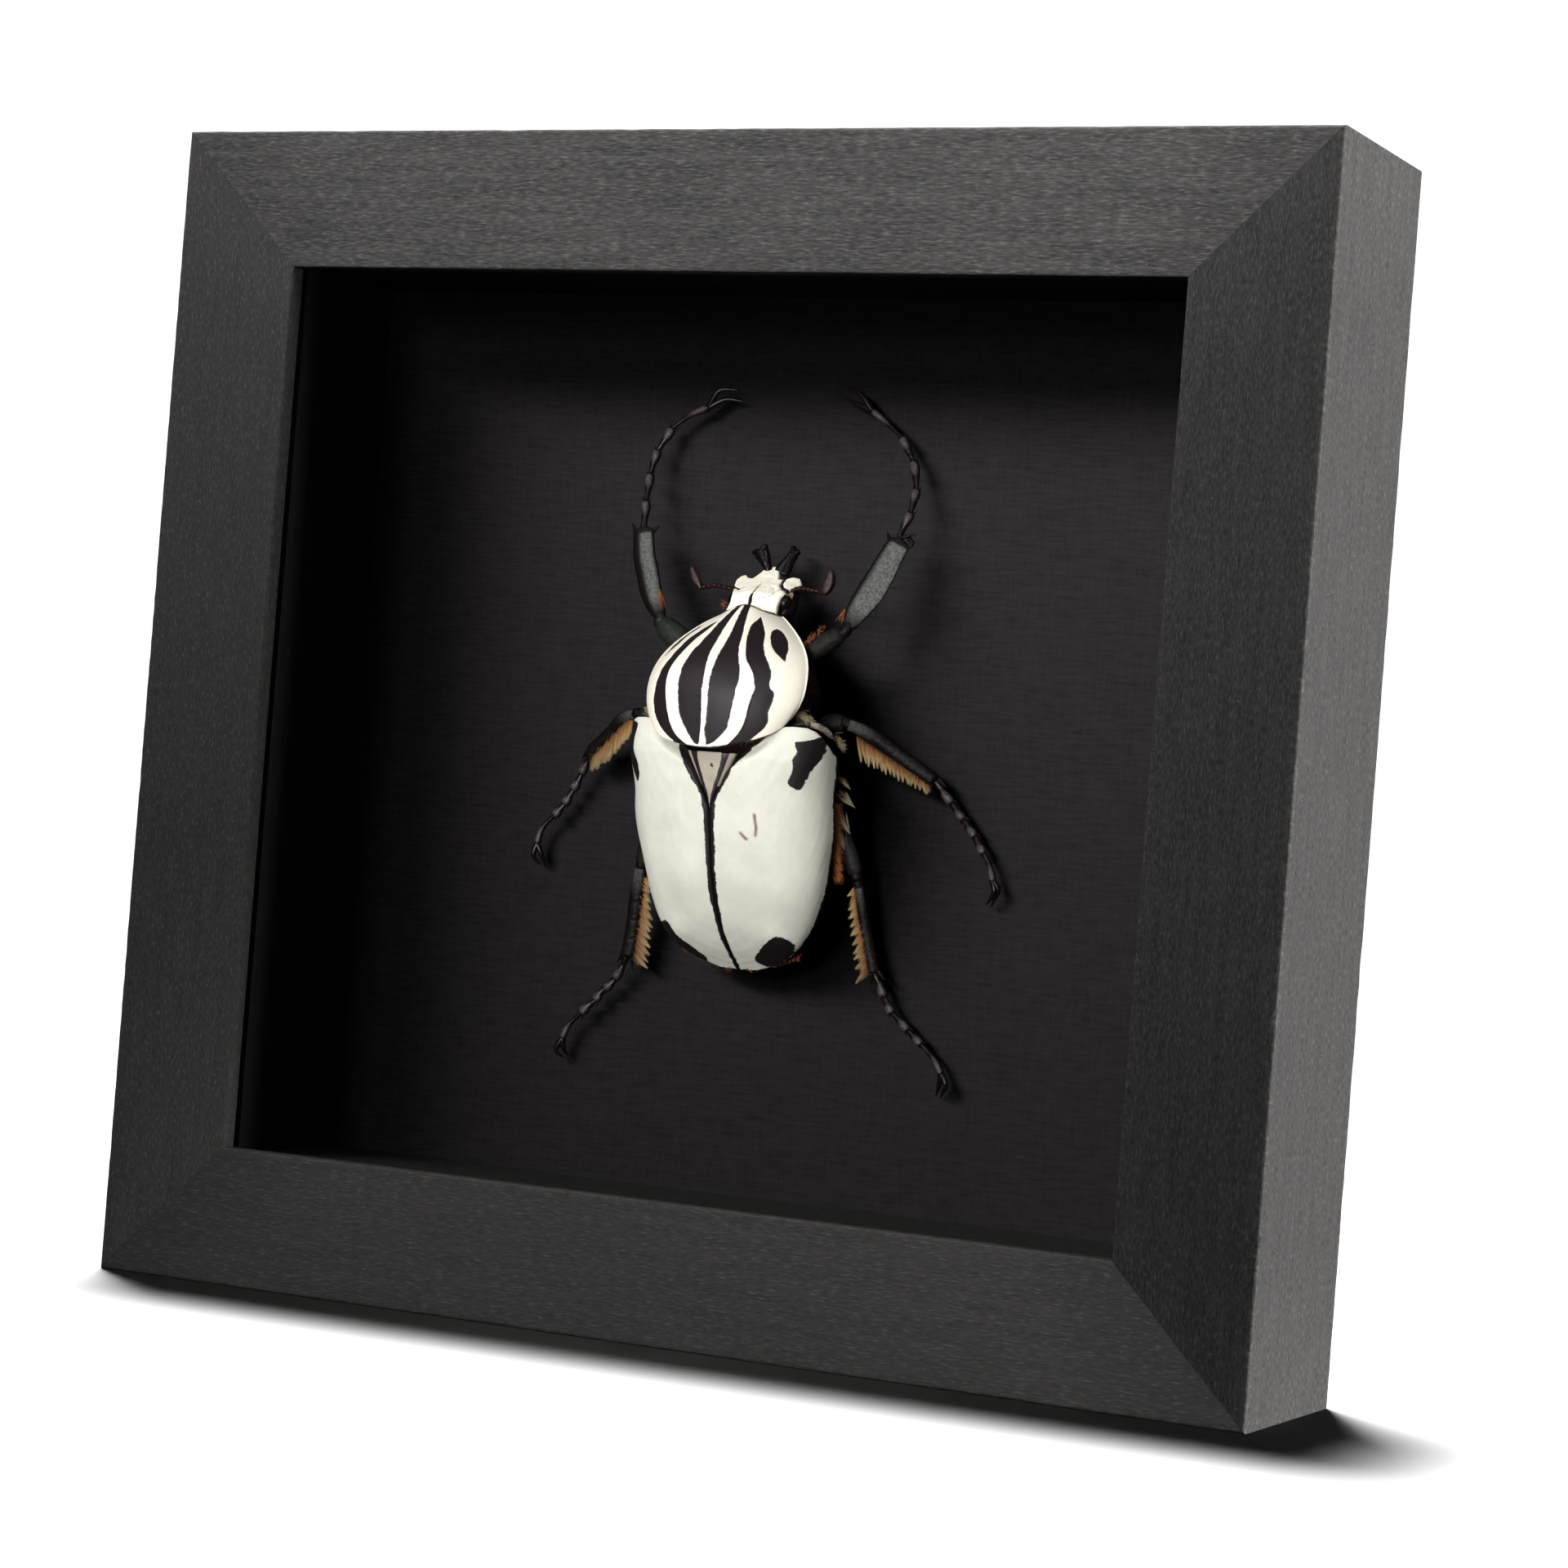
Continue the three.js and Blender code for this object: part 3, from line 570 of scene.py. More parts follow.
def railSection():
    points, wear, bite = [], [], []
    for i, (r, y, ease) in enumerate(corners):
        here = np.array([r, y])
        before = unit(np.array(corners[i - 1][:2]) - here)
        after = np.array(corners[(i + 1) % len(corners)][:2]) - here
        gap = np.linalg.norm(after)
        after = after / gap
        size = rail["ease"] * ease
        for k in np.linspace(0, 1, 5):
            turn = k * math.pi / 2
            points.append(here + before * size * (1 - math.sin(turn)) + after * size * (1 - math.cos(turn)))
            wear.append(1.0)
            bite.append((before + after) / 2 * ease)
        if gap > 9:
            for reach, level in ((0.9, 0.35), (2.0, 0.0), (gap / 2, 0.0), (gap - 2.0, 0.0),
                                 (gap - 0.9, 0.35)):
                points.append(here + after * reach)
                wear.append(level)
                bite.append(np.zeros(2))
    return np.array(points), np.array(wear), np.array(bite)


section, sectionWear, sectionBite = railSection()
for number, name in enumerate(("top", "bottom", "left", "right")):
    rng = np.random.default_rng(100 + number)
    upright = name in ("left", "right")
    reach = (rail["height"] if upright else rail["width"]) / 2
    q = np.linspace(-1, 1, rail["steps"])
    wear = np.abs(ripple(np.stack([q * reach, q * 0, q * 0], -1), 5, 200 + number))
    nick = 0.12 * wear[:, None] * np.ones(len(section))
    for _ in range(36):
        spot, corner = rng.uniform(-1, 1), rng.integers(0, len(section))
        nick[:, corner] += rng.uniform(0.1, 0.5) * np.exp(-((q - spot) * reach / rng.uniform(0.5, 1.4)) ** 2)
    r = section[None, :, 0] + nick * sectionBite[None, :, 0] * 0.5
    y = section[None, :, 1] + nick * sectionBite[None, :, 1] * 0.5
    length = q[:, None] * (reach - r - rail["joint"])
    inward = {"top": rail["height"] - r, "bottom": r, "left": r - rail["width"] / 2,
              "right": rail["width"] / 2 - r}[name]
    places = (np.stack([inward, y, length + rail["height"] / 2], -1) if upright
              else np.stack([length, y, inward], -1))
    faces = tubeFaces(len(q), len(section))
    # the uprights show a shorter grain
    grainAt = np.stack([length * (1.7 if upright else 1) + 400 * number, r, y], -1)
    # painted light: the uprights lighter at their ends, the cross rails darker at theirs, the left rail
    # lighter towards its foot
    ends = ((0.2 if upright else -0.2) * smooth(np.abs(q), 0.72, 1)
            + (0.75 if name == "left" else 0) * smooth(-q, 0.2, 1))
    values = {"grain": grainAt.reshape(-1, 3), "worn": (sectionWear[None] * np.ones((len(q), 1))).ravel(),
              "tone": np.repeat(rail["tone"][name] * (1 + ends), len(section)),
              "raised": np.full(len(q) * len(section), rail["raised"][name])}
    piece = makePiece("moulding_" + name, (places.reshape(-1, 3), faces, values), stainedAsh,
                      ("rail_" + name,), inFrame=True)
    piece.data.set_sharp_from_angle(angle=math.radians(35))
    piece.visible_diffuse = False  # the rails throw no light on the sweep

for name, material in {"spacer_top": innerStain, "spacer_bottom": innerStain, "spacer_left": innerStain,
                       "spacer_right": innerStain, "mount_board": linen, "back_panel": hardboard,
                       "sawtooth_hanger": zinc, "hanger_screw_left": zinc, "hanger_screw_right": zinc,
                       "glass_pane": glass}.items():
    nodes[name].data.materials.clear()
    nodes[name].data.materials.append(material)
    # the dark box throws no light on the sweep, and the pane no bright spots
    nodes[name].visible_diffuse = False
nodes["glass_pane"].visible_shadow = False
nodes["glass_pane"].visible_glossy = False
print("frame made")

wing = {"rear": -30.0, "half": 14.5, "thick": 0.9, "seam": 0.1, "rows": 170, "cols": 100,
        "pinch": {"left": 0.09, "right": 0.02}}
shield = {"half": 11.4, "thick": 0.9, "rows": 150, "cols": 180}
plate = {"front": -1.6, "rear": -8.8, "half": 3.6}


def wingHalf(up, hand="left"):
    t = np.clip(up / wing["rear"], 0, 1)
    return wing["half"] * np.sqrt(1 - t ** 4) * (1 - 0.03 * np.exp(-((up + 7) / 3) ** 2)
                                                 - wing["pinch"][hand] * np.exp(-((up + 18) / 7) ** 2))


def wingEdge(up):
    return 9.9 + 0.135 * up - 1.2 * smooth(-up, 26, 30)


def wingRidge(up):
    t = np.maximum(0, (-2 - up) / 27.6)
    return 5 + 13.6 * (1 - 0.4 * t - 0.6 * t ** 4.5)


def plateHalf(up):
    return plate["half"] * np.clip((up - plate["rear"]) / (plate["front"] - plate["rear"]), 0, 1.2)


# Front edge of a wing case: share of the half width, and millimetres up.
wingFront = np.array([(0.2, -2.1), (0.27, -1.4), (0.34, -0.5), (0.41, 0.25), (0.49, 1.3), (0.56, 1.95),
                      (0.65, 2.3), (0.74, 2.4), (0.84, 2.35), (0.9, 2.0), (0.95, 1.2), (0.98, 0.1),
                      (1.0, -1.0)])


def wingSurface(s, t, hand):
    begin = math.asin((plate["half"] / wing["half"]) ** 1.25) * 2 / math.pi
    share = np.sin((begin + (1 - begin) * s) * math.pi / 2) ** 0.8
    up = mix(np.interp(share, wingFront[:, 0], wingFront[:, 1]), wing["rear"] + 0.15, t)
    half = wingHalf(up, hand)
    inner = np.maximum(0, plateHalf(up) + 0.12 - wing["seam"])
    start = np.arcsin(np.clip(inner / half, 0, 1) ** 1.25) * 2 / math.pi
    turn = (start + (1 - start) * s) * math.pi / 2
    drop = 2 * (1 - smooth(t, 0, 0.09)) * np.cos(turn) ** 3
    edge = wingEdge(up)
    out = edge + (wingRidge(up) - drop - edge) * np.cos(turn) ** 0.8
    return np.stack([wing["seam"] + half * np.sin(turn) ** 0.8, up, out], -1)


# Black areas on the wing cases: stripes that run from front to rear, and two scars on the right one.
wingStripes = {
    "right": [
        [(-1.3, 13.7, 14), (-0.7, 12.5, 14.2), (-0.4, 11.2, 14.2), (0.6, 11.5, 14.1), (2, 11.1, 13.6),
         (3, 11.1, 13), (5, 10.6, 12.3), (5.7, 11.6, 11.9)],
        [(24.7, 7.7, 8), (25.2, 6.7, 9), (26, 5.7, 9.3), (27, 4.6, 8.6), (28.4, 3.2, 6.6), (29.2, 4.2, 4.8)],
    ],
    "left": [
        [(24, 8.6, 8.7), (24.5, 8, 10.2), (26, 6.9, 10.1), (28, 4.9, 8.5), (28.8, 4.2, 7.6),
         (29.6, 5.2, 5.5)],
    ],
}
flankStripe = [(-1.9, 12, 13), (-1.5, 10.2, 14.5), (0, 10, 15.5), (1.7, 10.4, 15), (3.3, 9.9, 14),
               (4.8, 10.2, 13), (6, 11.3, 11.8)]
wingScars = [[(4.5, -11.8), (5.3, -12.5)], [(6.4, -9.3), (6.6, -11), (6.5, -12)]]
seamBand = np.array([(-30, 0.3), (-22, 0.55), (-9.4, 0.75), (-7.4, 1.1), (-1, 5.2)])


def wingPiece(hand, side):
    t, s = spread(wing["rows"], wing["cols"])
    t = 1 - (1 - t) ** 1.5
    outer = wingSurface(s, t, hand)
    across, up = outer[..., 0], outer[..., 1]
    normal = gridNormals(outer)
    normal = normal * np.sign(normal[..., 2:3].mean())
    relief = 0.45 * np.exp(-((across - 11.9) / 1.6) ** 2 - ((up + 2.2) / 3.0) ** 2)  # shoulder hump
    relief += 0.4 * np.exp(-((across - 7.2) / 2.2) ** 2 - ((up + 25.4) / 1.8) ** 2)  # hump before the tip
    relief += 0.12 * np.exp(-((across - wing["seam"]) / 0.55) ** 2)  # raised seam
    relief += 0.1 * smooth(s, 0.965, 0.99)  # rolled outer edge
    relief += (0.06 * ripple(outer, 7, 31) + 0.012 * ripple(outer * (1, 0.3, 1), 1.1, 32)
               - 0.35 * smooth(s, 0.99, 1.0) - 0.2 * (1 - smooth(s, 0, 0.012)))
    outer = outer + normal * relief[..., None]
    centre = np.stack([0 * up, up, wingEdge(up) - 1], -1)
    inner = outer + unit(centre - outer) * wing["thick"]
    mark = np.max([stripeDepth(across, -up, stations) for stations in wingStripes[hand]], axis=0)
    wavy = 0.1 * ripple(outer * (0, 1, 0), 3, 41 if side > 0 else 42)
    mark = np.maximum(mark, np.interp(up, seamBand[:, 0], seamBand[:, 1]) + wavy - across)
    mark = np.maximum(mark, (s - 0.968) * 14)
    scar = np.full(across.shape, -9.0)
    if hand == "right":
        scar = np.max([lineDepth(across, up, line) for line in wingScars], axis=0)
    else:
        mark = np.maximum(mark, stripeDepth(s * 20, -up, flankStripe))  # round the flank
    shape = shellShape(outer * (side, 1, 1), inner * (side, 1, 1),
                       {"mark": mark, "scar": smooth(scar, -0.28, -0.06)})
    makePiece("wing_case_" + hand, shape, whiteShell, ("elytron_" + hand,))


wingPiece("left", -1)
wingPiece("right", 1)


def plateShape():
    rows, cols = 60, 50
    k, a = spread(rows, cols, -1)
    up = mix(plate["front"], plate["rear"] + 0.1, k)
    across = a * np.maximum(plateHalf(up) - 0.1, 0.08)
    out = (wingRidge(up) - 0.03 * across ** 2 - 0.25 - 0.5 * np.abs(a) ** 6
           + 0.02 * ripple(np.stack([across, up, 0 * up], -1), 1.5, 51))
    outer = np.stack([across, up, out], -1)
    # pale middle triangle, black stripes, pale side slips
    stripe = np.abs(across) - mix(1.75, 0.05, smooth(k, 0, 0.98))
    slip = np.minimum(np.abs(a) - 0.8, 0.62 - k)
    tone = np.where(slip > 0, -0.2, np.minimum(stripe, 0.3))
    dot = insideDepth(across, up, [(0.15, -3.1), (0.5, -3.0), (0.6, -3.5), (0.3, -3.5)])
    return shellShape(outer, outer - (0, 0, 1.1), {"mark": np.maximum(tone, dot)})


makePiece("scutellum_plate", plateShape(), beigeShell, ("scutellum",))
print("wing cases made")


def shieldHalf(t):
    return shield["half"] / 11.2 * np.where(t < 0.7, 3.7 + 7.5 * (1 - np.abs(1 - t / 0.7) ** 2.3),
                                            11.2 - 1.6 * ((t - 0.7) / 0.3) ** 2)


def shieldRidge(t):
    return np.where(t < 0.63, 21.1 - 10.4 * np.abs(1 - t / 0.63) ** 2,
                    21.1 - 1.3 * np.maximum(0, (t - 0.63) / 0.37) ** 1.5)


def shieldEdge(t):
    return 8.5 + 7.1 * (1 - (1 - t) ** 1.8)


def shieldSurface(a, t):
    turn = math.pi / 2 * np.abs(a)
    half, edge = shieldHalf(t), shieldEdge(t)
    across = np.sign(a) * half * np.sin(turn)
    out = edge + (shieldRidge(t) - edge) * np.maximum(np.cos(turn), 0) ** 1.25
    corner = mix(17.2, np.where(a < 0, 2.2, 3.3), t)
    up = mix(mix(17.4, -1.3, t), corner, np.abs(a) ** np.where(a < 0, 1.9, 1.5))
    up = up + 1.1 * np.exp(-(a / 0.42) ** 2) * (1 - smooth(t, 0, 0.3))  # front edge drawn out over the neck
    return np.stack([across, up, out], -1)


# Black stripes on the shield from front to rear. Their edges are millimetres round it from the middle.
shieldGirth, shieldRun = 14.0, 19.0
shieldStripes = [
    [(0, -0.9, -2.2), (3, -0.8, -2.8), (6, -0.8, -3.5), (9, -0.4, -3.6), (12, -0.3, -3.3), (15, -0.3, -2.9),
     (18, -0.6, -1.6), (18.6, -0.9, -0.9)],
    [(2.2, -3.4, -3.4), (3, -3.8, -5.3), (4.5, -4.9, -6.7), (6, -5.2, -6.9), (9, -5.7, -7.5),
     (12, -5.3, -7.6), (15, -4.8, -7.6), (17.5, -4, -6.3), (19, -2, -3.9)],
    [(0, -0.1, 1.7), (3, 0.7, 2.5), (6, 0.5, 2.9), (9, 0.4, 3.6), (12, 0.4, 3.3), (15, 0.3, 2.9),
     (16.5, 0.1, 2.6), (18, 0.2, 1.4), (18.5, 0.3, 0.3)],
    [(1.3, 5.1, 5.1), (2.4, 3.7, 5.8), (3.5, 3.4, 6.1), (5, 3.6, 6), (7, 4, 6.4), (9, 5, 7.2),
     (11.2, 5.4, 7.1), (12.2, 5.2, 7.7), (13.4, 4.9, 7.7), (15, 4.7, 7.3), (17, 4.2, 7.5), (18.5, 3.1, 6),
     (19, 2.3, 5)],
    [(2.6, 8.4, 8.5), (3.1, 7.3, 9.5), (4.2, 7, 10), (5.6, 7.3, 9.8), (6.8, 8.2, 9.3), (7.7, 9, 9)],
    [(2.6, -8, -8.2), (3.1, -7.6, -9.2), (4.2, -8.5, -10.2), (5.4, -8.5, -10.3), (6.6, -9.1, -10),
     (7.6, -9.5, -9.6)],
]


def shieldShape():
    t, a = spread(shield["rows"], shield["cols"], -1)
    outer = shieldSurface(a, t)
    normal = gridNormals(outer)
    normal = normal * np.sign(normal[..., 2:3].mean())
    girth, run = a * shieldGirth, t * shieldRun
    mark = np.max([stripeDepth(girth, run, stations) for stations in shieldStripes], axis=0)
    mark = np.maximum(mark, run - 18.75)  # black hind margin
    mark = np.maximum(mark, (0.45 - run) * 0.6)
    mark = np.maximum(mark, (np.abs(a) - 0.985) * 14)
    relief = (0.03 * ripple(outer, 5, 61) - 0.07 * smooth(mark, -0.1, 0.15)
              + 0.14 * smooth(np.abs(a), 0.93, 0.97))
    relief = (relief - 0.4 * smooth(np.abs(a), 0.985, 1.0) - 0.35 * smooth(t, 0.985, 1)
              - 0.3 * smooth(-t, -0.012, 0))
    outer = outer + normal * relief[..., None]
    centre = np.stack([0 * a, outer[..., 1], shieldEdge(t) - 3], -1)
    return shellShape(outer, outer + unit(centre - outer) * shield["thick"], {"mark": mark})


makePiece("neck_shield", shieldShape(), creamShell, ("pronotum",))
print("shield made")

# Head: a steep wrinkled plate with two lobes, a forked black horn each side of its tip, and the eyes.
headForm = {"base": 17.5, "rows": 90, "cols": 110,
            "front": [(0, 23.8), (0.2, 23.75), (0.28, 22.9), (0.42, 21.95), (0.62, 22.05), (0.78, 22.45),
                      (0.93, 22.35), (1.0, 21.8)],
            "side": [(17.5, 3.6), (18.6, 3.4), (19.6, 3.5), (20.3, 3.75), (21.0, 4.3), (21.6, 4.5),
                     (22.3, 4.45), (23.8, 4.6)],
            "creases": [((-3.4, 20.1), (-2.0, 20.7)), ((2.0, 20.85), (2.6, 20.2)), ((3.1, 20.7), (2.6, 20.2)),
                        ((2.6, 20.2), (2.5, 19.7)), ((2.5, 19.7), (1.6, 19.3))],
            "gap": [(2.6, 22.6), (2.7, 21.3), (3.1, 20.8), (3.9, 20.4), (4.6, 20.2)]}


def headShape():
    k, a = spread(headForm["rows"], headForm["cols"], -1)
    front = np.interp(np.abs(a), *np.array(headForm["front"]).T)
    up = mix(headForm["base"] - 0.3 * a ** 2, front, k)
    across = a * np.interp(up, *np.array(headForm["side"]).T)
    out = (12.2 - 1.4 * (up - 17.6) - 0.11 * across ** 2 * (1 - 0.5 * k)
           + 0.5 * np.exp(-((up - 20.2) / 1.2) ** 2) * (1 - a ** 2))
    out = (out - 1.5 * (1 - smooth(up, 17.5, 20.0))
           - 0.3 * np.maximum(across - 2.8, 0) ** 2 * smooth(up, 20.4, 21.0))
    outer = np.stack([across, up, out], -1)
    groove = np.exp(-(across / 0.16) ** 2) * smooth(up, 18.0, 18.6) * (1 - smooth(up, 21.0, 22.0))
    fold = np.exp(-((up - 20.35 - 0.25 * (np.abs(across) - 3)) / 0.16) ** 2) * smooth(-across, 2.3, 3.0)
    crease = np.max([lineDepth(across, up, line) for line in headForm["creases"]], axis=0)
    gap = lineDepth(across, up, headForm["gap"])
    outer[..., 2] += (-0.4 * groove - 0.35 * fold - 0.14 * smooth(crease, -0.3, 0.0)
                      - 0.5 * smooth(gap, -0.3, 0.0) + 0.05 * ripple(outer, 1.6, 71)
                      + 0.02 * ripple(outer, 0.6, 72))
    wedge = 0.3 * (1 - smooth(up, 18.9, 20.6)) * smooth(up, 17.9, 18.5) - np.abs(across) - 0.04
    mark = np.maximum(np.maximum(wedge, groove * 0.3 - 0.24), fold * 0.34 - 0.2)
    mark = np.maximum(np.maximum(mark, gap + 0.2), np.maximum(crease + 0.02, (0.03 - k) * 6))
    return shellShape(outer, outer - (0, 0.5, 1.0), {"mark": mark})


makePiece("head_plate", headShape(), creamShell, ("head",))


def taper(path, thick, tip, sides=10, count=14):
    width = mix(thick, tip, np.linspace(0, 1, count) ** 1.7)
    return sweep(curvePath(path, count), width, width, sides)


def ball(centre, radius, rows=16, cols=24, squash=(1, 1, 1)):
    lat = np.linspace(-math.pi / 2 + 0.05, math.pi / 2 - 0.05, rows)[:, None]
    lon = np.linspace(0, 2 * math.pi, cols, endpoint=False)[None, :]
    points = np.stack([np.cos(lat) * np.cos(lon), np.cos(lat) * np.sin(lon), np.sin(lat) * np.ones_like(lon)],
                      -1)
    points = np.asarray(centre) + points * radius * np.asarray(squash)
    return points.reshape(-1, 3), tubeFaces(rows, cols), {}


# Horns: thick polished prongs with a notched end. Like the feelers and legs, no two are quite alike.
horns = {
    "left": {"path": [(-0.6, 22.9, 3.9), (-0.75, 23.6, 3.9), (-1.4, 24.8, 3.8), (-2.1, 25.8, 3.7)],
             "half": (0.55, 0.62, 0.95, 1.25),
             "tips": [(-3.2, 25.6, 3.6), (-1.3, 26.7, 3.8)]},
    "right": {"path": [(1.2, 22.8, 3.7), (1.4, 23.5, 3.5), (2.0, 24.9, 3.0), (2.5, 25.9, 2.7)],
              "half": (1.2, 1.05, 0.8, 0.7),
              "tips": [(2.1, 26.7, 2.6), (3.1, 26.1, 2.4)]},
}
feelers = {
    "left": {"stalk": [(-4.0, 20.1, 6.2), (-5.2, 20.5, 6), (-7.6, 20.8, 5.5), (-9.9, 20.5, 5)],
             "club": [(-9.9, 20.3, 5), (-10.3, 20.9, 5), (-10.9, 22, 5), (-11.5, 23.3, 5)], "half": 0.48},
    "right": {"stalk": [(4.0, 20.4, 6.2), (5, 20.9, 6), (6.2, 20.9, 5.5), (7.6, 20.7, 5)],
              "club": [(7.6, 20.6, 5), (8.6, 21, 5), (9.1, 22.2, 5), (9.2, 23.7, 5)], "half": 0.66},
}


def hornShape(horn):
    k = np.linspace(0, 1, 20)
    path = curvePath(horn["path"], 20)
    half = (np.interp(k, np.linspace(0, 1, len(horn["half"])), horn["half"])
            * np.sqrt(np.clip((1 - k) / 0.08, 0.35, 1)))
    shapes = [sweep(path, half, np.minimum(half, 0.7), 16)]
    for tip in horn["tips"]:
        shapes.append(taper([path[11], mix(path[-3], np.array(tip), 0.3), tip], 0.75, 0.34, 12))
    return joined(shapes)


makePiece("horns", joined([hornShape(horn) for horn in horns.values()]), polishedLimb)
eyeShapes = []
for side in (-1, 1):
    eyeShapes.append(ball((3.7 * side, 18.9, 6.8), 1.1, squash=(0.85, 1.05, 1)))
    eyeShapes.append(taper([(3.2 * side, 17.2, 6.4), (3.9 * side, 18.6, 6.0), (4.0 * side, 20.4, 5.0)], 1.2,
                           0.8, 14))
makePiece("eyes", joined(eyeShapes), polishedLimb)
for hand, feeler in feelers.items():
    bead = np.sin(np.linspace(0, 7 * math.pi, 44)) ** 2
    shapes = [sweep(curvePath(feeler["stalk"], 44), 0.26 + 0.1 * bead, 0.26 + 0.1 * bead, 10)]
    for turn in (-0.22, 0.0, 0.22):
        club = np.array(feeler["club"]) + np.linspace(1, 2, 4)[:, None] * (0, 0, turn)
        width = feeler["half"] * np.interp(np.linspace(0, 1, 28), [0, 0.2, 0.55, 0.85, 1],
                                           [0.45, 0.9, 1, 0.65, 0.1])
        # painted highlight: pale grey down the top of each club
        paintedHighlight = {"powder": lambda part, angle: 0.5 * smooth(np.sin(angle), 0.45, 0.9)
                 * smooth(part, 0.15, 0.35) * (1 - smooth(part, 0.85, 0.97))}
        shapes.append(sweep(curvePath(club, 28), width, width * 0.4, 20, paintedHighlight))
    makePiece("feeler_" + hand, joined(shapes), redLimb, ("antenna_" + hand,))
print("head made")


# Under body: lofted rings with shallow ring folds.
def loft(upFrom, upTo, half, top, bottom, rows, cols, seed, folds):
    up = np.linspace(upFrom, upTo, rows)[:, None] * np.ones((1, cols))
    angle = np.linspace(0, 2 * math.pi, cols, endpoint=False)[None, :] * np.ones((rows, 1))
    middle, height = (top(up) + bottom(up)) / 2, (top(up) - bottom(up)) / 2
    c, s = np.cos(angle), np.sin(angle)
    swell = 1 - 0.05 * np.abs(np.sin(up * math.pi / folds)) ** 0.5
    points = np.stack([half(up) * np.sign(c) * np.abs(c) ** 0.7 * swell, up,
                       middle + height * np.sign(s) * np.abs(s) ** 0.7], -1)
    points = points + 0.06 * ripple(points, 1.2, seed)[..., None] * np.stack([c, 0 * c, s], -1)
    return points.reshape(-1, 3), tubeFaces(rows, cols), {}


def shieldT(up):
    return np.clip((17.4 - up) / 15.5, 0, 1)


makePiece("under_neck",
          loft(2.6, 16.2, lambda u: shieldHalf(shieldT(u)) - 1.5, lambda u: shieldEdge(shieldT(u)) - 0.6,
               lambda u: 2.5 + 1.7 * smooth(u, 4, 14), 50, 48, 81, 7),
          brownBody, ("prothorax",))
makePiece("under_body",
          loft(2.0, -29.3, lambda u: np.maximum(1.2, wingHalf(u - 0.3) - 0.7 - 3.5 * smooth(u, -6, 2)),
               lambda u: wingEdge(u) - 0.6, lambda u: 0.3 + 1.6 * smooth(-u, 20, 30), 110, 60, 82, 4.2),
          brownBody, ("abdomen",))
print("under body made")

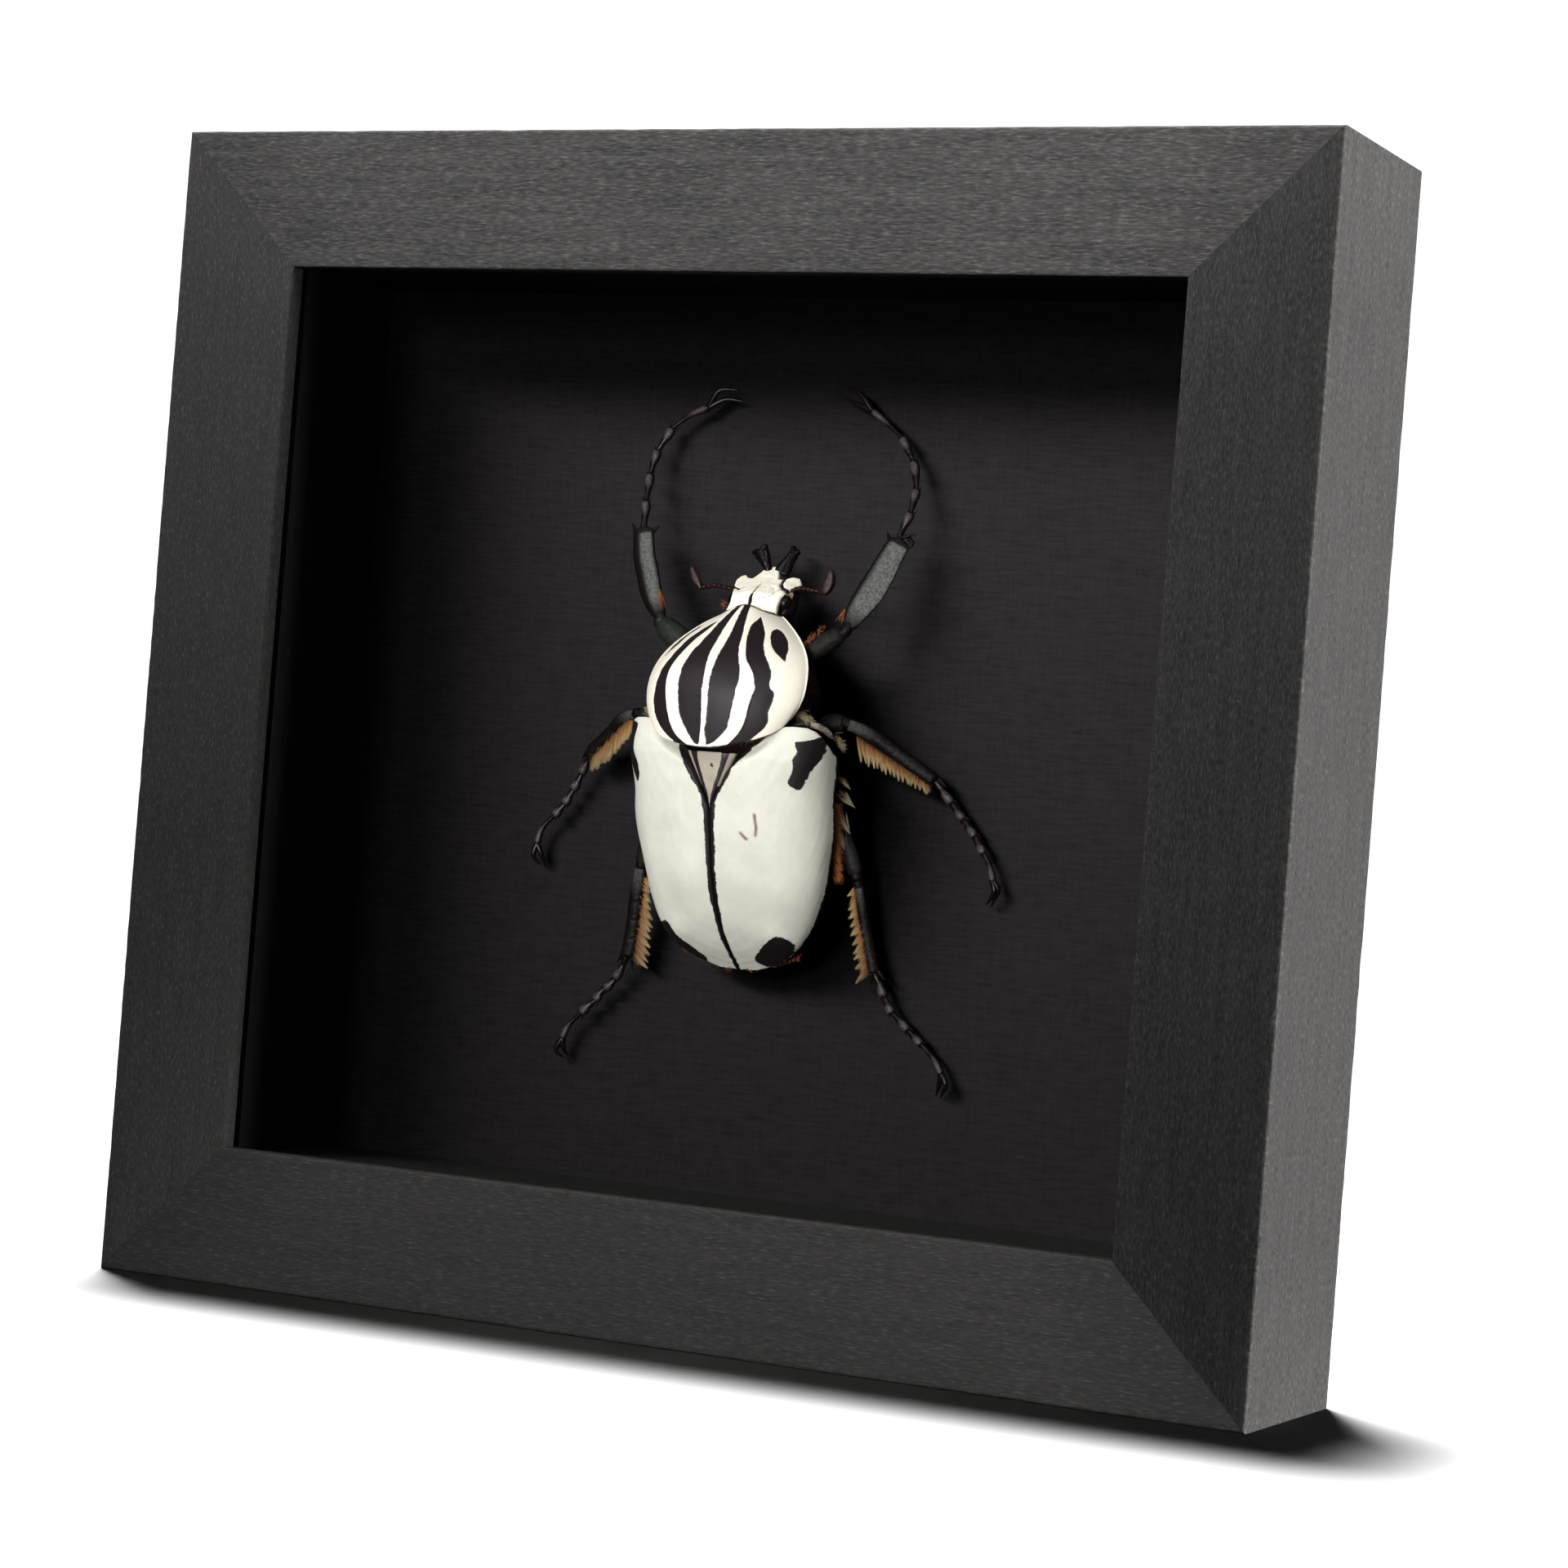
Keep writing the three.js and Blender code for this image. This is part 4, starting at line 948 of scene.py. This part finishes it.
# Legs in millimetres across, up and out from the board. A foot's first five points are its joint ends.
legs = {
    "front_left": {
        "thigh": [(-6.6, 10.2, 8.6), (-8.3, 11.4, 9.3), (-11.4, 13.9, 9.2), (-14, 15.2, 8.6)],
        "thighHalf": 1.75,
        "shin": [(-13.6, 15.8, 8.6), (-15, 17.6, 8), (-16.3, 19.7, 7.2), (-17.4, 21.9, 6.4),
                 (-18.5, 24.4, 5.7), (-19.4, 28.1, 4.9)],
        "shinHalf": (0.8, 1.45, 1.7, 1.72, 1.62, 1.5),
        "foot": [(-19.5, 28.2, 4.7), (-19.8, 31.9, 4), (-20, 35.7, 3), (-19.5, 39, 2.3), (-17.7, 42.1, 1.9),
                 (-15.2, 43.9, 1.8), (-12.4, 45.1, 1.8)],
        "claws": [[(-10.9, 47.3, 2.2), (-8.2, 47.5, 1.6)], [(-10.2, 46.2, 1.5), (-7.7, 46, 1.1)]],
        "spurs": [[(-18.2, 27.4, 4.9), (-17.1, 28.6, 4.6)], [(-20.4, 27.2, 4.9), (-21.2, 28.8, 4.8)]]},
    "front_right": {
        "thigh": [(6.8, 10.6, 8.6), (8.9, 12.3, 9.3), (11.2, 13.9, 9.2), (13.5, 15.4, 8.6)],
        "thighHalf": 1.45,
        "shin": [(13.8, 15.8, 8.6), (14.8, 18.3, 8), (16, 20.7, 7.2), (17, 23.2, 6.4), (17.9, 25.7, 5.7),
                 (18.8, 28, 4.9)],
        "shinHalf": (1.0, 1.65, 2.0, 1.95, 1.75, 1.55),
        "foot": [(18.5, 28.6, 4.7), (19.5, 31.7, 4), (19.6, 34.9, 3), (18.5, 38.7, 2.3), (16.4, 41.8, 1.9),
                 (14.1, 43.6, 1.8), (11.6, 45.3, 1.8)],
        "claws": [[(10, 47.3, 2), (7.9, 48.2, 1.6)], [(9.1, 46.1, 1.5), (7.1, 47, 1.1)]],
        "spurs": [[(18.8, 28.3, 4.9), (20.8, 28.9, 4.7)],
                  [(19.9, 28.2, 4.9), (20.5, 27.6, 5), (19.9, 26.6, 5.2)],
                  [(17.2, 27.8, 4.9), (16.6, 29, 4.6)]]},
    "mid_left": {
        "thigh": [(-10.4, 1.2, 5.4), (-12.8, 1.9, 5.6), (-15.3, 2.5, 5.6), (-17.8, 3.1, 5.4)],
        "thighHalf": 1.35,
        "shin": [(-17.8, 3.1, 5.3), (-20.3, 2.3, 4.6), (-22.6, 0.2, 3.6), (-25.9, -2.6, 2.6)],
        "shinHalf": (0.75, 0.95, 1.0, 1.05),
        "foot": [(-26.1, -2.9, 2.5), (-27.5, -5.5, 2), (-28.7, -7.8, 1.8), (-29.9, -9.8, 1.7),
                 (-31.4, -11.5, 1.7), (-33.1, -13.4, 1.7), (-33.8, -15.7, 1.7)],
        "claws": [[(-34.1, -17.2, 1.8), (-33.2, -18.4, 1.2)], [(-33.1, -16.8, 1.5), (-32.5, -18.6, 1)]],
        "spurs": [[(-25.4, -2.6, 2.9), (-25.6, -4.4, 2.4)], [(-26.4, -2.2, 2.7), (-27.4, -3.6, 2.4)]],
        "fringe": {"roots": [(-18.4, 2.5, 5.1), (-25.2, -2.6, 2.8)], "way": (-0.32, -0.95, -0.12),
                   "long": (3.0, 3.8, 4.2, 3.6, 2.8), "locks": 16, "hairs": 1300}},
    "mid_right": {
        "thigh": [(9.0, 2.4, 5.4), (10.2, 3, 5.6), (11.8, 3.5, 5.5), (13.2, 3.8, 5.4)], "thighHalf": 1.35,
        "shin": [(13.2, 3.6, 5.4), (16.2, 2.5, 4.6), (20.2, 0, 3.6), (25.3, -3.1, 2.6)],
        "shinHalf": (0.85, 1.0, 1.0, 0.98),
        "foot": [(25.5, -3.3, 2.5), (27.7, -5.8, 2), (29.4, -7.8, 1.8), (31.2, -9.9, 1.7), (32.6, -12, 1.7),
                 (33.6, -13.7, 1.7), (34.2, -15.6, 1.7)],
        "claws": [[(34.5, -16.9, 1.8), (33.3, -18.6, 1.2)], [(34.9, -16.6, 1.5), (33.9, -18.8, 1)]],
        "spurs": [[(24.8, -3.2, 2.9), (25.1, -4.9, 2.4)], [(25.8, -2.7, 2.7), (27, -3.9, 2.4)]],
        "fringe": {"roots": [(14.7, 1.9, 5.0), (24.7, -3.8, 2.7)], "way": (0.14, -1, -0.12),
                   "long": (3.3, 2.8, 2.3, 1.8, 1.4), "locks": 17, "hairs": 1300}},
    "hind_left": {
        "thigh": [(-12.2, -10.6, 4.2), (-13.8, -12, 4.3), (-15.2, -13.9, 4.2), (-16.2, -17.5, 4)],
        "thighHalf": 1.3,
        "shin": [(-16.2, -17.2, 3.9), (-16.7, -21.3, 3.4), (-17.2, -25.8, 2.8), (-17.9, -29.8, 2.4)],
        "shinHalf": (0.8, 1.1, 1.15, 1.15),
        "foot": [(-18.3, -30, 2.3), (-19.9, -32.9, 1.9), (-21.3, -34.3, 1.8), (-22.7, -36.1, 1.7),
                 (-24.8, -38, 1.7), (-26.5, -39.7, 1.7), (-27.5, -41.8, 1.7)],
        "claws": [[(-28.2, -43.4, 1.8), (-27.3, -44.3, 1.2)], [(-27.2, -43.1, 1.5), (-26.6, -44.1, 1)]],
        "spurs": [[(-17.4, -29.6, 2.6), (-17.2, -31.4, 2.2)], [(-18.6, -29.4, 2.5), (-19.6, -30.6, 2.3)]],
        "fringe": {"roots": [(-15.7, -18.6, 3.7), (-16.7, -30, 2.5)], "way": (0.75, -0.66, -0.12),
                   "long": (1.2, 1.9, 2.5, 2.7, 2.5), "locks": 12, "hairs": 1200}},
    "hind_right": {
        "thigh": [(11.8, -9.2, 4.2), (13.1, -10.8, 4.3), (14.6, -13.4, 4.2), (15.9, -16.6, 4)],
        "thighHalf": 1.25,
        "shin": [(15.9, -16.6, 3.9), (16.7, -20.6, 3.4), (17.3, -23.9, 2.8), (18.7, -28.9, 2.4)],
        "shinHalf": (0.65, 0.75, 0.78, 0.82),
        "foot": [(18.8, -29, 2.3), (20.1, -31.8, 1.9), (21.4, -33.8, 1.8), (23.8, -35.9, 1.7),
                 (25.9, -37.5, 1.7), (27.9, -39.3, 1.7), (29.1, -41.2, 1.7)],
        "claws": [[(29.8, -42.4, 1.8), (28.9, -44.2, 1.2)], [(28.8, -42.4, 1.5), (28.2, -44, 1)]],
        "spurs": [[(18.3, -28.8, 2.6), (18.3, -30.4, 2.2)], [(19.2, -28.4, 2.5), (20.3, -29.6, 2.3)]],
        "fringe": {"roots": [(15.7, -17.4, 3.8), (18.2, -28.7, 2.5)], "way": (-0.72, -0.70, -0.12),
                   "long": (1.9, 2.3, 2.5, 2.7, 3.2), "locks": 10, "hairs": 1200}},
}


def footShape(foot, claws, seed):
    rng = np.random.default_rng(seed)
    foot = np.array(foot, float)
    shapes = []
    # painted highlight: grey on top of each joint's bulb
    paintedHighlight = {"powder": lambda part, angle: 0.26 * smooth(np.sin(angle), 0.4, 0.95)
             * smooth(part, 0.4, 0.7) * (1 - smooth(part, 0.86, 0.96))}
    for number in range(4):
        start, end = foot[number], foot[number + 1]
        run = unit(end - start)
        k = np.linspace(0, 1, 26)
        width = np.interp(k, [0, 0.1, 0.3, 0.55, 0.78, 0.92, 1], [0.28, 0.32, 0.42, 0.58, 0.7, 0.6, 0.25])
        if number == 0:
            width = np.maximum(width, 0.48 * (1 - 0.3 * k))
        bend = np.cross(run, (0, 0, 1)) * rng.normal(0, 0.06)
        path = curvePath([start - run * 0.22, mix(start, end, 0.5) + bend, end + run * 0.12], 26)
        shapes.append(sweep(path, width, width * 0.85, 18, paintedHighlight, 0.03))
        side = unit(np.cross(run, (0, 0, 1)))
        for way in (-1, 0.2, 1):
            root = end - run * 0.2 + side * way * 0.36
            shapes.append(taper([root, root + run * rng.uniform(0.55, 0.9) + side * way * 0.3 - (0, 0, 0.15)],
                                0.11, 0.02, 6, 5))
    k = np.linspace(0, 1, 34)
    path = curvePath([foot[4] - unit(foot[5] - foot[4]) * 0.2, foot[5], foot[6]], 34)
    width = np.interp(k, [0, 0.3, 0.8, 0.95, 1], [0.28, 0.32, 0.48, 0.5, 0.34])
    shapes.append(sweep(path, width, width, 14, paintedHighlight))
    for bow, tip in claws:
        shapes.append(taper([foot[6] - unit(foot[6] - foot[5]) * 0.2, bow, tip], 0.46, 0.08, 10, 18))
    return joined(shapes)


def shinShape(leg, front, side):
    k = np.linspace(0, 1, 90)
    half = np.interp(k, np.linspace(0, 1, len(leg["shinHalf"])), leg["shinHalf"])
    half = half * np.sqrt(np.clip((k + 0.01) / 0.05, 0.2, 1)) * np.sqrt(np.clip((1.004 - k) / 0.03, 0.3, 1))

    def powder(part, angle):
        outer = np.cos(angle) * side  # the outer edge is at 1
        top = smooth(np.sin(angle), 0.02, 0.2)
        if not front:
            # painted highlight: grey on top of the mid and hind shins near the knee
            return 0.5 * smooth(np.sin(angle), 0.3, 0.9) * (1 - smooth(part, 0.05, 0.35))
        near, far = ((-0.98, -0.7), (-0.1, 0.4)) if side < 0 else ((-0.85, -0.3), (0.9, 1.0))
        level = smooth(outer, *near) * (1 - smooth(outer, *far)) * top
        return level * smooth(part, 0.02, 0.25) * (1 - smooth(part, 0.92, 0.95))

    shapes = [sweep(curvePath(leg["shin"], 90), half, np.minimum(half, 0.6) if front else half * 0.85, 44,
                    {"powder": powder}, 0.015 if front else 0.03)]
    for spur in leg["spurs"]:
        shapes.append(taper(spur, 0.32, 0.05, 10, 10))
    return joined(shapes)


def thighShape(leg, green):
    k = np.linspace(0, 1, 50)
    swell = (leg["thighHalf"] * (0.75 + 0.25 * np.sin(math.pi * k))
             * np.sqrt(np.clip((1.01 - k) / 0.12, 0.05, 1)))
    knee, shin = np.array(leg["thigh"][-1]), np.array(leg["shin"][:2], float)
    dull = {"powder": lambda part, angle: (0.3 if green else 0.06) * smooth(np.sin(angle), 0, 0.6)}
    neck = taper([mix(np.array(leg["thigh"][-2]), knee, 0.8), knee, shin[0], mix(shin[0], shin[1], 0.3)], 0.8,
                 0.65, 14, 12)
    return joined([sweep(curvePath(leg["thigh"], 50), swell, swell * 0.78, 30, dull, 0.03), neck])


def fringeShape(fringe, seed):
    rng = np.random.default_rng(seed)
    start, end = np.array(fringe["roots"], float)
    way = unit(fringe["way"])
    flat = unit(np.cross(end - start, way))
    count, locks = fringe["hairs"], fringe["locks"]
    at = rng.uniform(0, 1, count)
    lock = np.clip(np.floor(at * locks + rng.normal(0, 0.2, count)), 0, locks - 1).astype(int)
    centre = (lock + 0.5) / locks + (rng.normal(0, 0.2, locks) / locks)[lock]
    reach = (np.interp(centre, np.linspace(0, 1, len(fringe["long"])), fringe["long"])
             * rng.uniform(0.86, 1.04, locks)[lock])
    roots = start + (end - start) * at[:, None] - way * 0.35 + flat * rng.normal(0, 0.24, (count, 1))
    tips = (start + (end - start) * centre[:, None] + way * reach[:, None]
            + flat * rng.normal(0, 0.1, (count, 1)))
    # short hairs that fill the root band, and long ones drawn into pointed locks
    free = rng.uniform(size=count) < 0.38
    loose = (roots + way * (reach * np.where(free, rng.uniform(0.35, 0.7, count),
                                             rng.uniform(0.7, 1.0, count)) + 0.35)[:, None])
    ends = (mix(loose, tips, np.where(free, 0.25, rng.uniform(0.7, 1.0, count) ** 0.5)[:, None])
            + rng.normal(0, 0.04, (count, 3)))
    points, faces, values = bristles(roots, ends, rng.normal(0, 0.07, (count, 3)),
                                     rng.uniform(0.03, 0.055, count), rng)
    paler = np.repeat(0.45 * (1 - at), len(points) // count)  # paler at the knee end
    return points, faces, {"along": values["along"], "strand": 0.6 * values["strand"] + paler}


for number, (place, leg) in enumerate(legs.items()):
    front, side = place.startswith("front"), 1 if place.endswith("right") else -1
    green = place == "front_left"
    makePiece(f"thigh_{place}", thighShape(leg, green), greenLimb if green else pittedLimb,
              (f"femur_{place}",))
    makePiece(f"shin_{place}", shinShape(leg, front, side), pittedLimb, (f"tibia_{place}",))
    makePiece(f"foot_{place}", footShape(leg["foot"], leg["claws"], 320 + number), polishedLimb,
              (f"tarsus_{place}",))
    if "fringe" in leg:
        makePiece(f"fringe_{place}", fringeShape(leg["fringe"], 300 + number), goldenHair)
print("legs made")

# Hair on the body: bands grow from a line of roots, tufts draw to one tip. True puts it on both sides.
hairBands = {
    "rust": [((13.2, -7.1, 7), (13.7, -16.8, 6), (0.75, -0.65, -0.1), 1.1, 1000, True),
             ((1.2, -29.5, 4.6), (8.6, -27.2, 4.6), (0.1, -1, -0.2), 0.8, 260, True),
             ((-4.5, 17.9, 8.2), (-4.8, 18.5, 7.8), (-0.6, 0.3, 0.5), 0.5, 40, False),
             ((8.5, 12.9, 10.3), (10.9, 15.4, 9.9), (-0.5, 0.8, 0.2), 0.6, 110, False)],
    "fawn": [((13.1, 1.9, 8.5), (13.9, 0.5, 8), (0.7, -0.6, 0), 1.2, 130, True),
             ((3.2, 0.4, 16.2), (5.8, 1.6, 15), (0.2, -1, 0.1), 0.9, 160, True),
             ((8.8, 4.9, 13.4), (10.8, 3.9, 12.2), (0.7, -0.6, 0.2), 1.3, 260, True),
             ((-13.6, 2.8, 9), (-14.2, 3.6, 8.8), (-0.9, 0.3, 0.1), 0.9, 90, False)],
}
hairTufts = {
    "rust": [((-13.7, 17.2, 8.4), (-14.6, 19.9, 8), 0.3, 70, False),
             ((12.9, 16.9, 8.6), (13.1, 18.5, 8.4), 0.3, 60, False)],
    "fawn": [((13.4, -3.6, 6.5), (14.9, -5.1, 6), 0.3, 34, True),
             ((13.7, -5.7, 6.3), (15.7, -7.4, 5.8), 0.4, 40, True),
             ((13.7, -8.7, 6.2), (15.2, -10.9, 5.6), 0.4, 40, True),
             ((13.6, -11, 6), (14.5, -13, 5.5), 0.4, 34, True),
             ((4.2, 19.7, 6.9), (4.6, 20.3, 6.8), 0.2, 30, False)],
}
flips = [(1, 1, 1), (-1, 1, 1)]
for kind, material in (("rust", rustHair), ("fawn", fawnHair)):
    rng = np.random.default_rng(500 if kind == "rust" else 540)
    shapes = []
    for start, end, toward, reach, count, both in hairBands[kind]:
        for flip in flips[:2 if both else 1]:
            share = rng.uniform(size=(count, 1))
            roots = mix(np.array(start), np.array(end), share) * flip + rng.normal(0, 0.18, (count, 3))
            ends = (roots + unit(unit(np.array(toward) * flip) + rng.normal(0, 0.3, (count, 3))) * reach
                    * rng.uniform(0.5, 1.1, (count, 1)))
            shapes.append(bristles(roots, ends, rng.normal(0, 0.06, (count, 3)),
                                   rng.uniform(0.03, 0.05, count), rng))
    for root, tip, scatter, count, both in hairTufts[kind]:
        for flip in flips[:2 if both else 1]:
            roots = np.array(root) * flip + rng.normal(0, scatter, (count, 3))
            ends = (mix(roots, np.array(tip) * flip, rng.uniform(0.55, 1.0, (count, 1)))
                    + rng.normal(0, 0.05, (count, 3)))
            shapes.append(bristles(roots, ends, rng.normal(0, 0.06, (count, 3)),
                                   rng.uniform(0.03, 0.05, count), rng))
    makePiece(f"{kind}_hair", joined(shapes), material)
print("hair made")

# Shoulder plates: the narrow side plates between shield and wing case, dark green black then cream.
shoulder = [(8.6, 2.4, 12.6), (9.4, 2.8, 12.4), (10.4, 3.0, 12), (11.8, 2.8, 11.2), (12.7, 2.3, 10.4),
            (13.3, 1.4, 9.4)]
shoulderMark = {"mark": lambda part, angle: np.maximum((0.42 - part) * 6, -0.02)}
plates = []
for side in (-1, 1):
    k = np.linspace(0, 1, 40)
    width = 0.42 * np.sqrt(np.clip(np.minimum(k, 1 - k) / 0.12, 0.1, 1))
    plates.append(sweep(curvePath(np.array(shoulder) * (side, 1, 1), 40), width, width * 0.8, 18,
                        shoulderMark))
makePiece("shoulder_plates", joined(plates), beigeShell)
for entry in notBeetle.collection_objects:
    entry.light_linking.link_state = "EXCLUDE"
print("shoulder plates made")
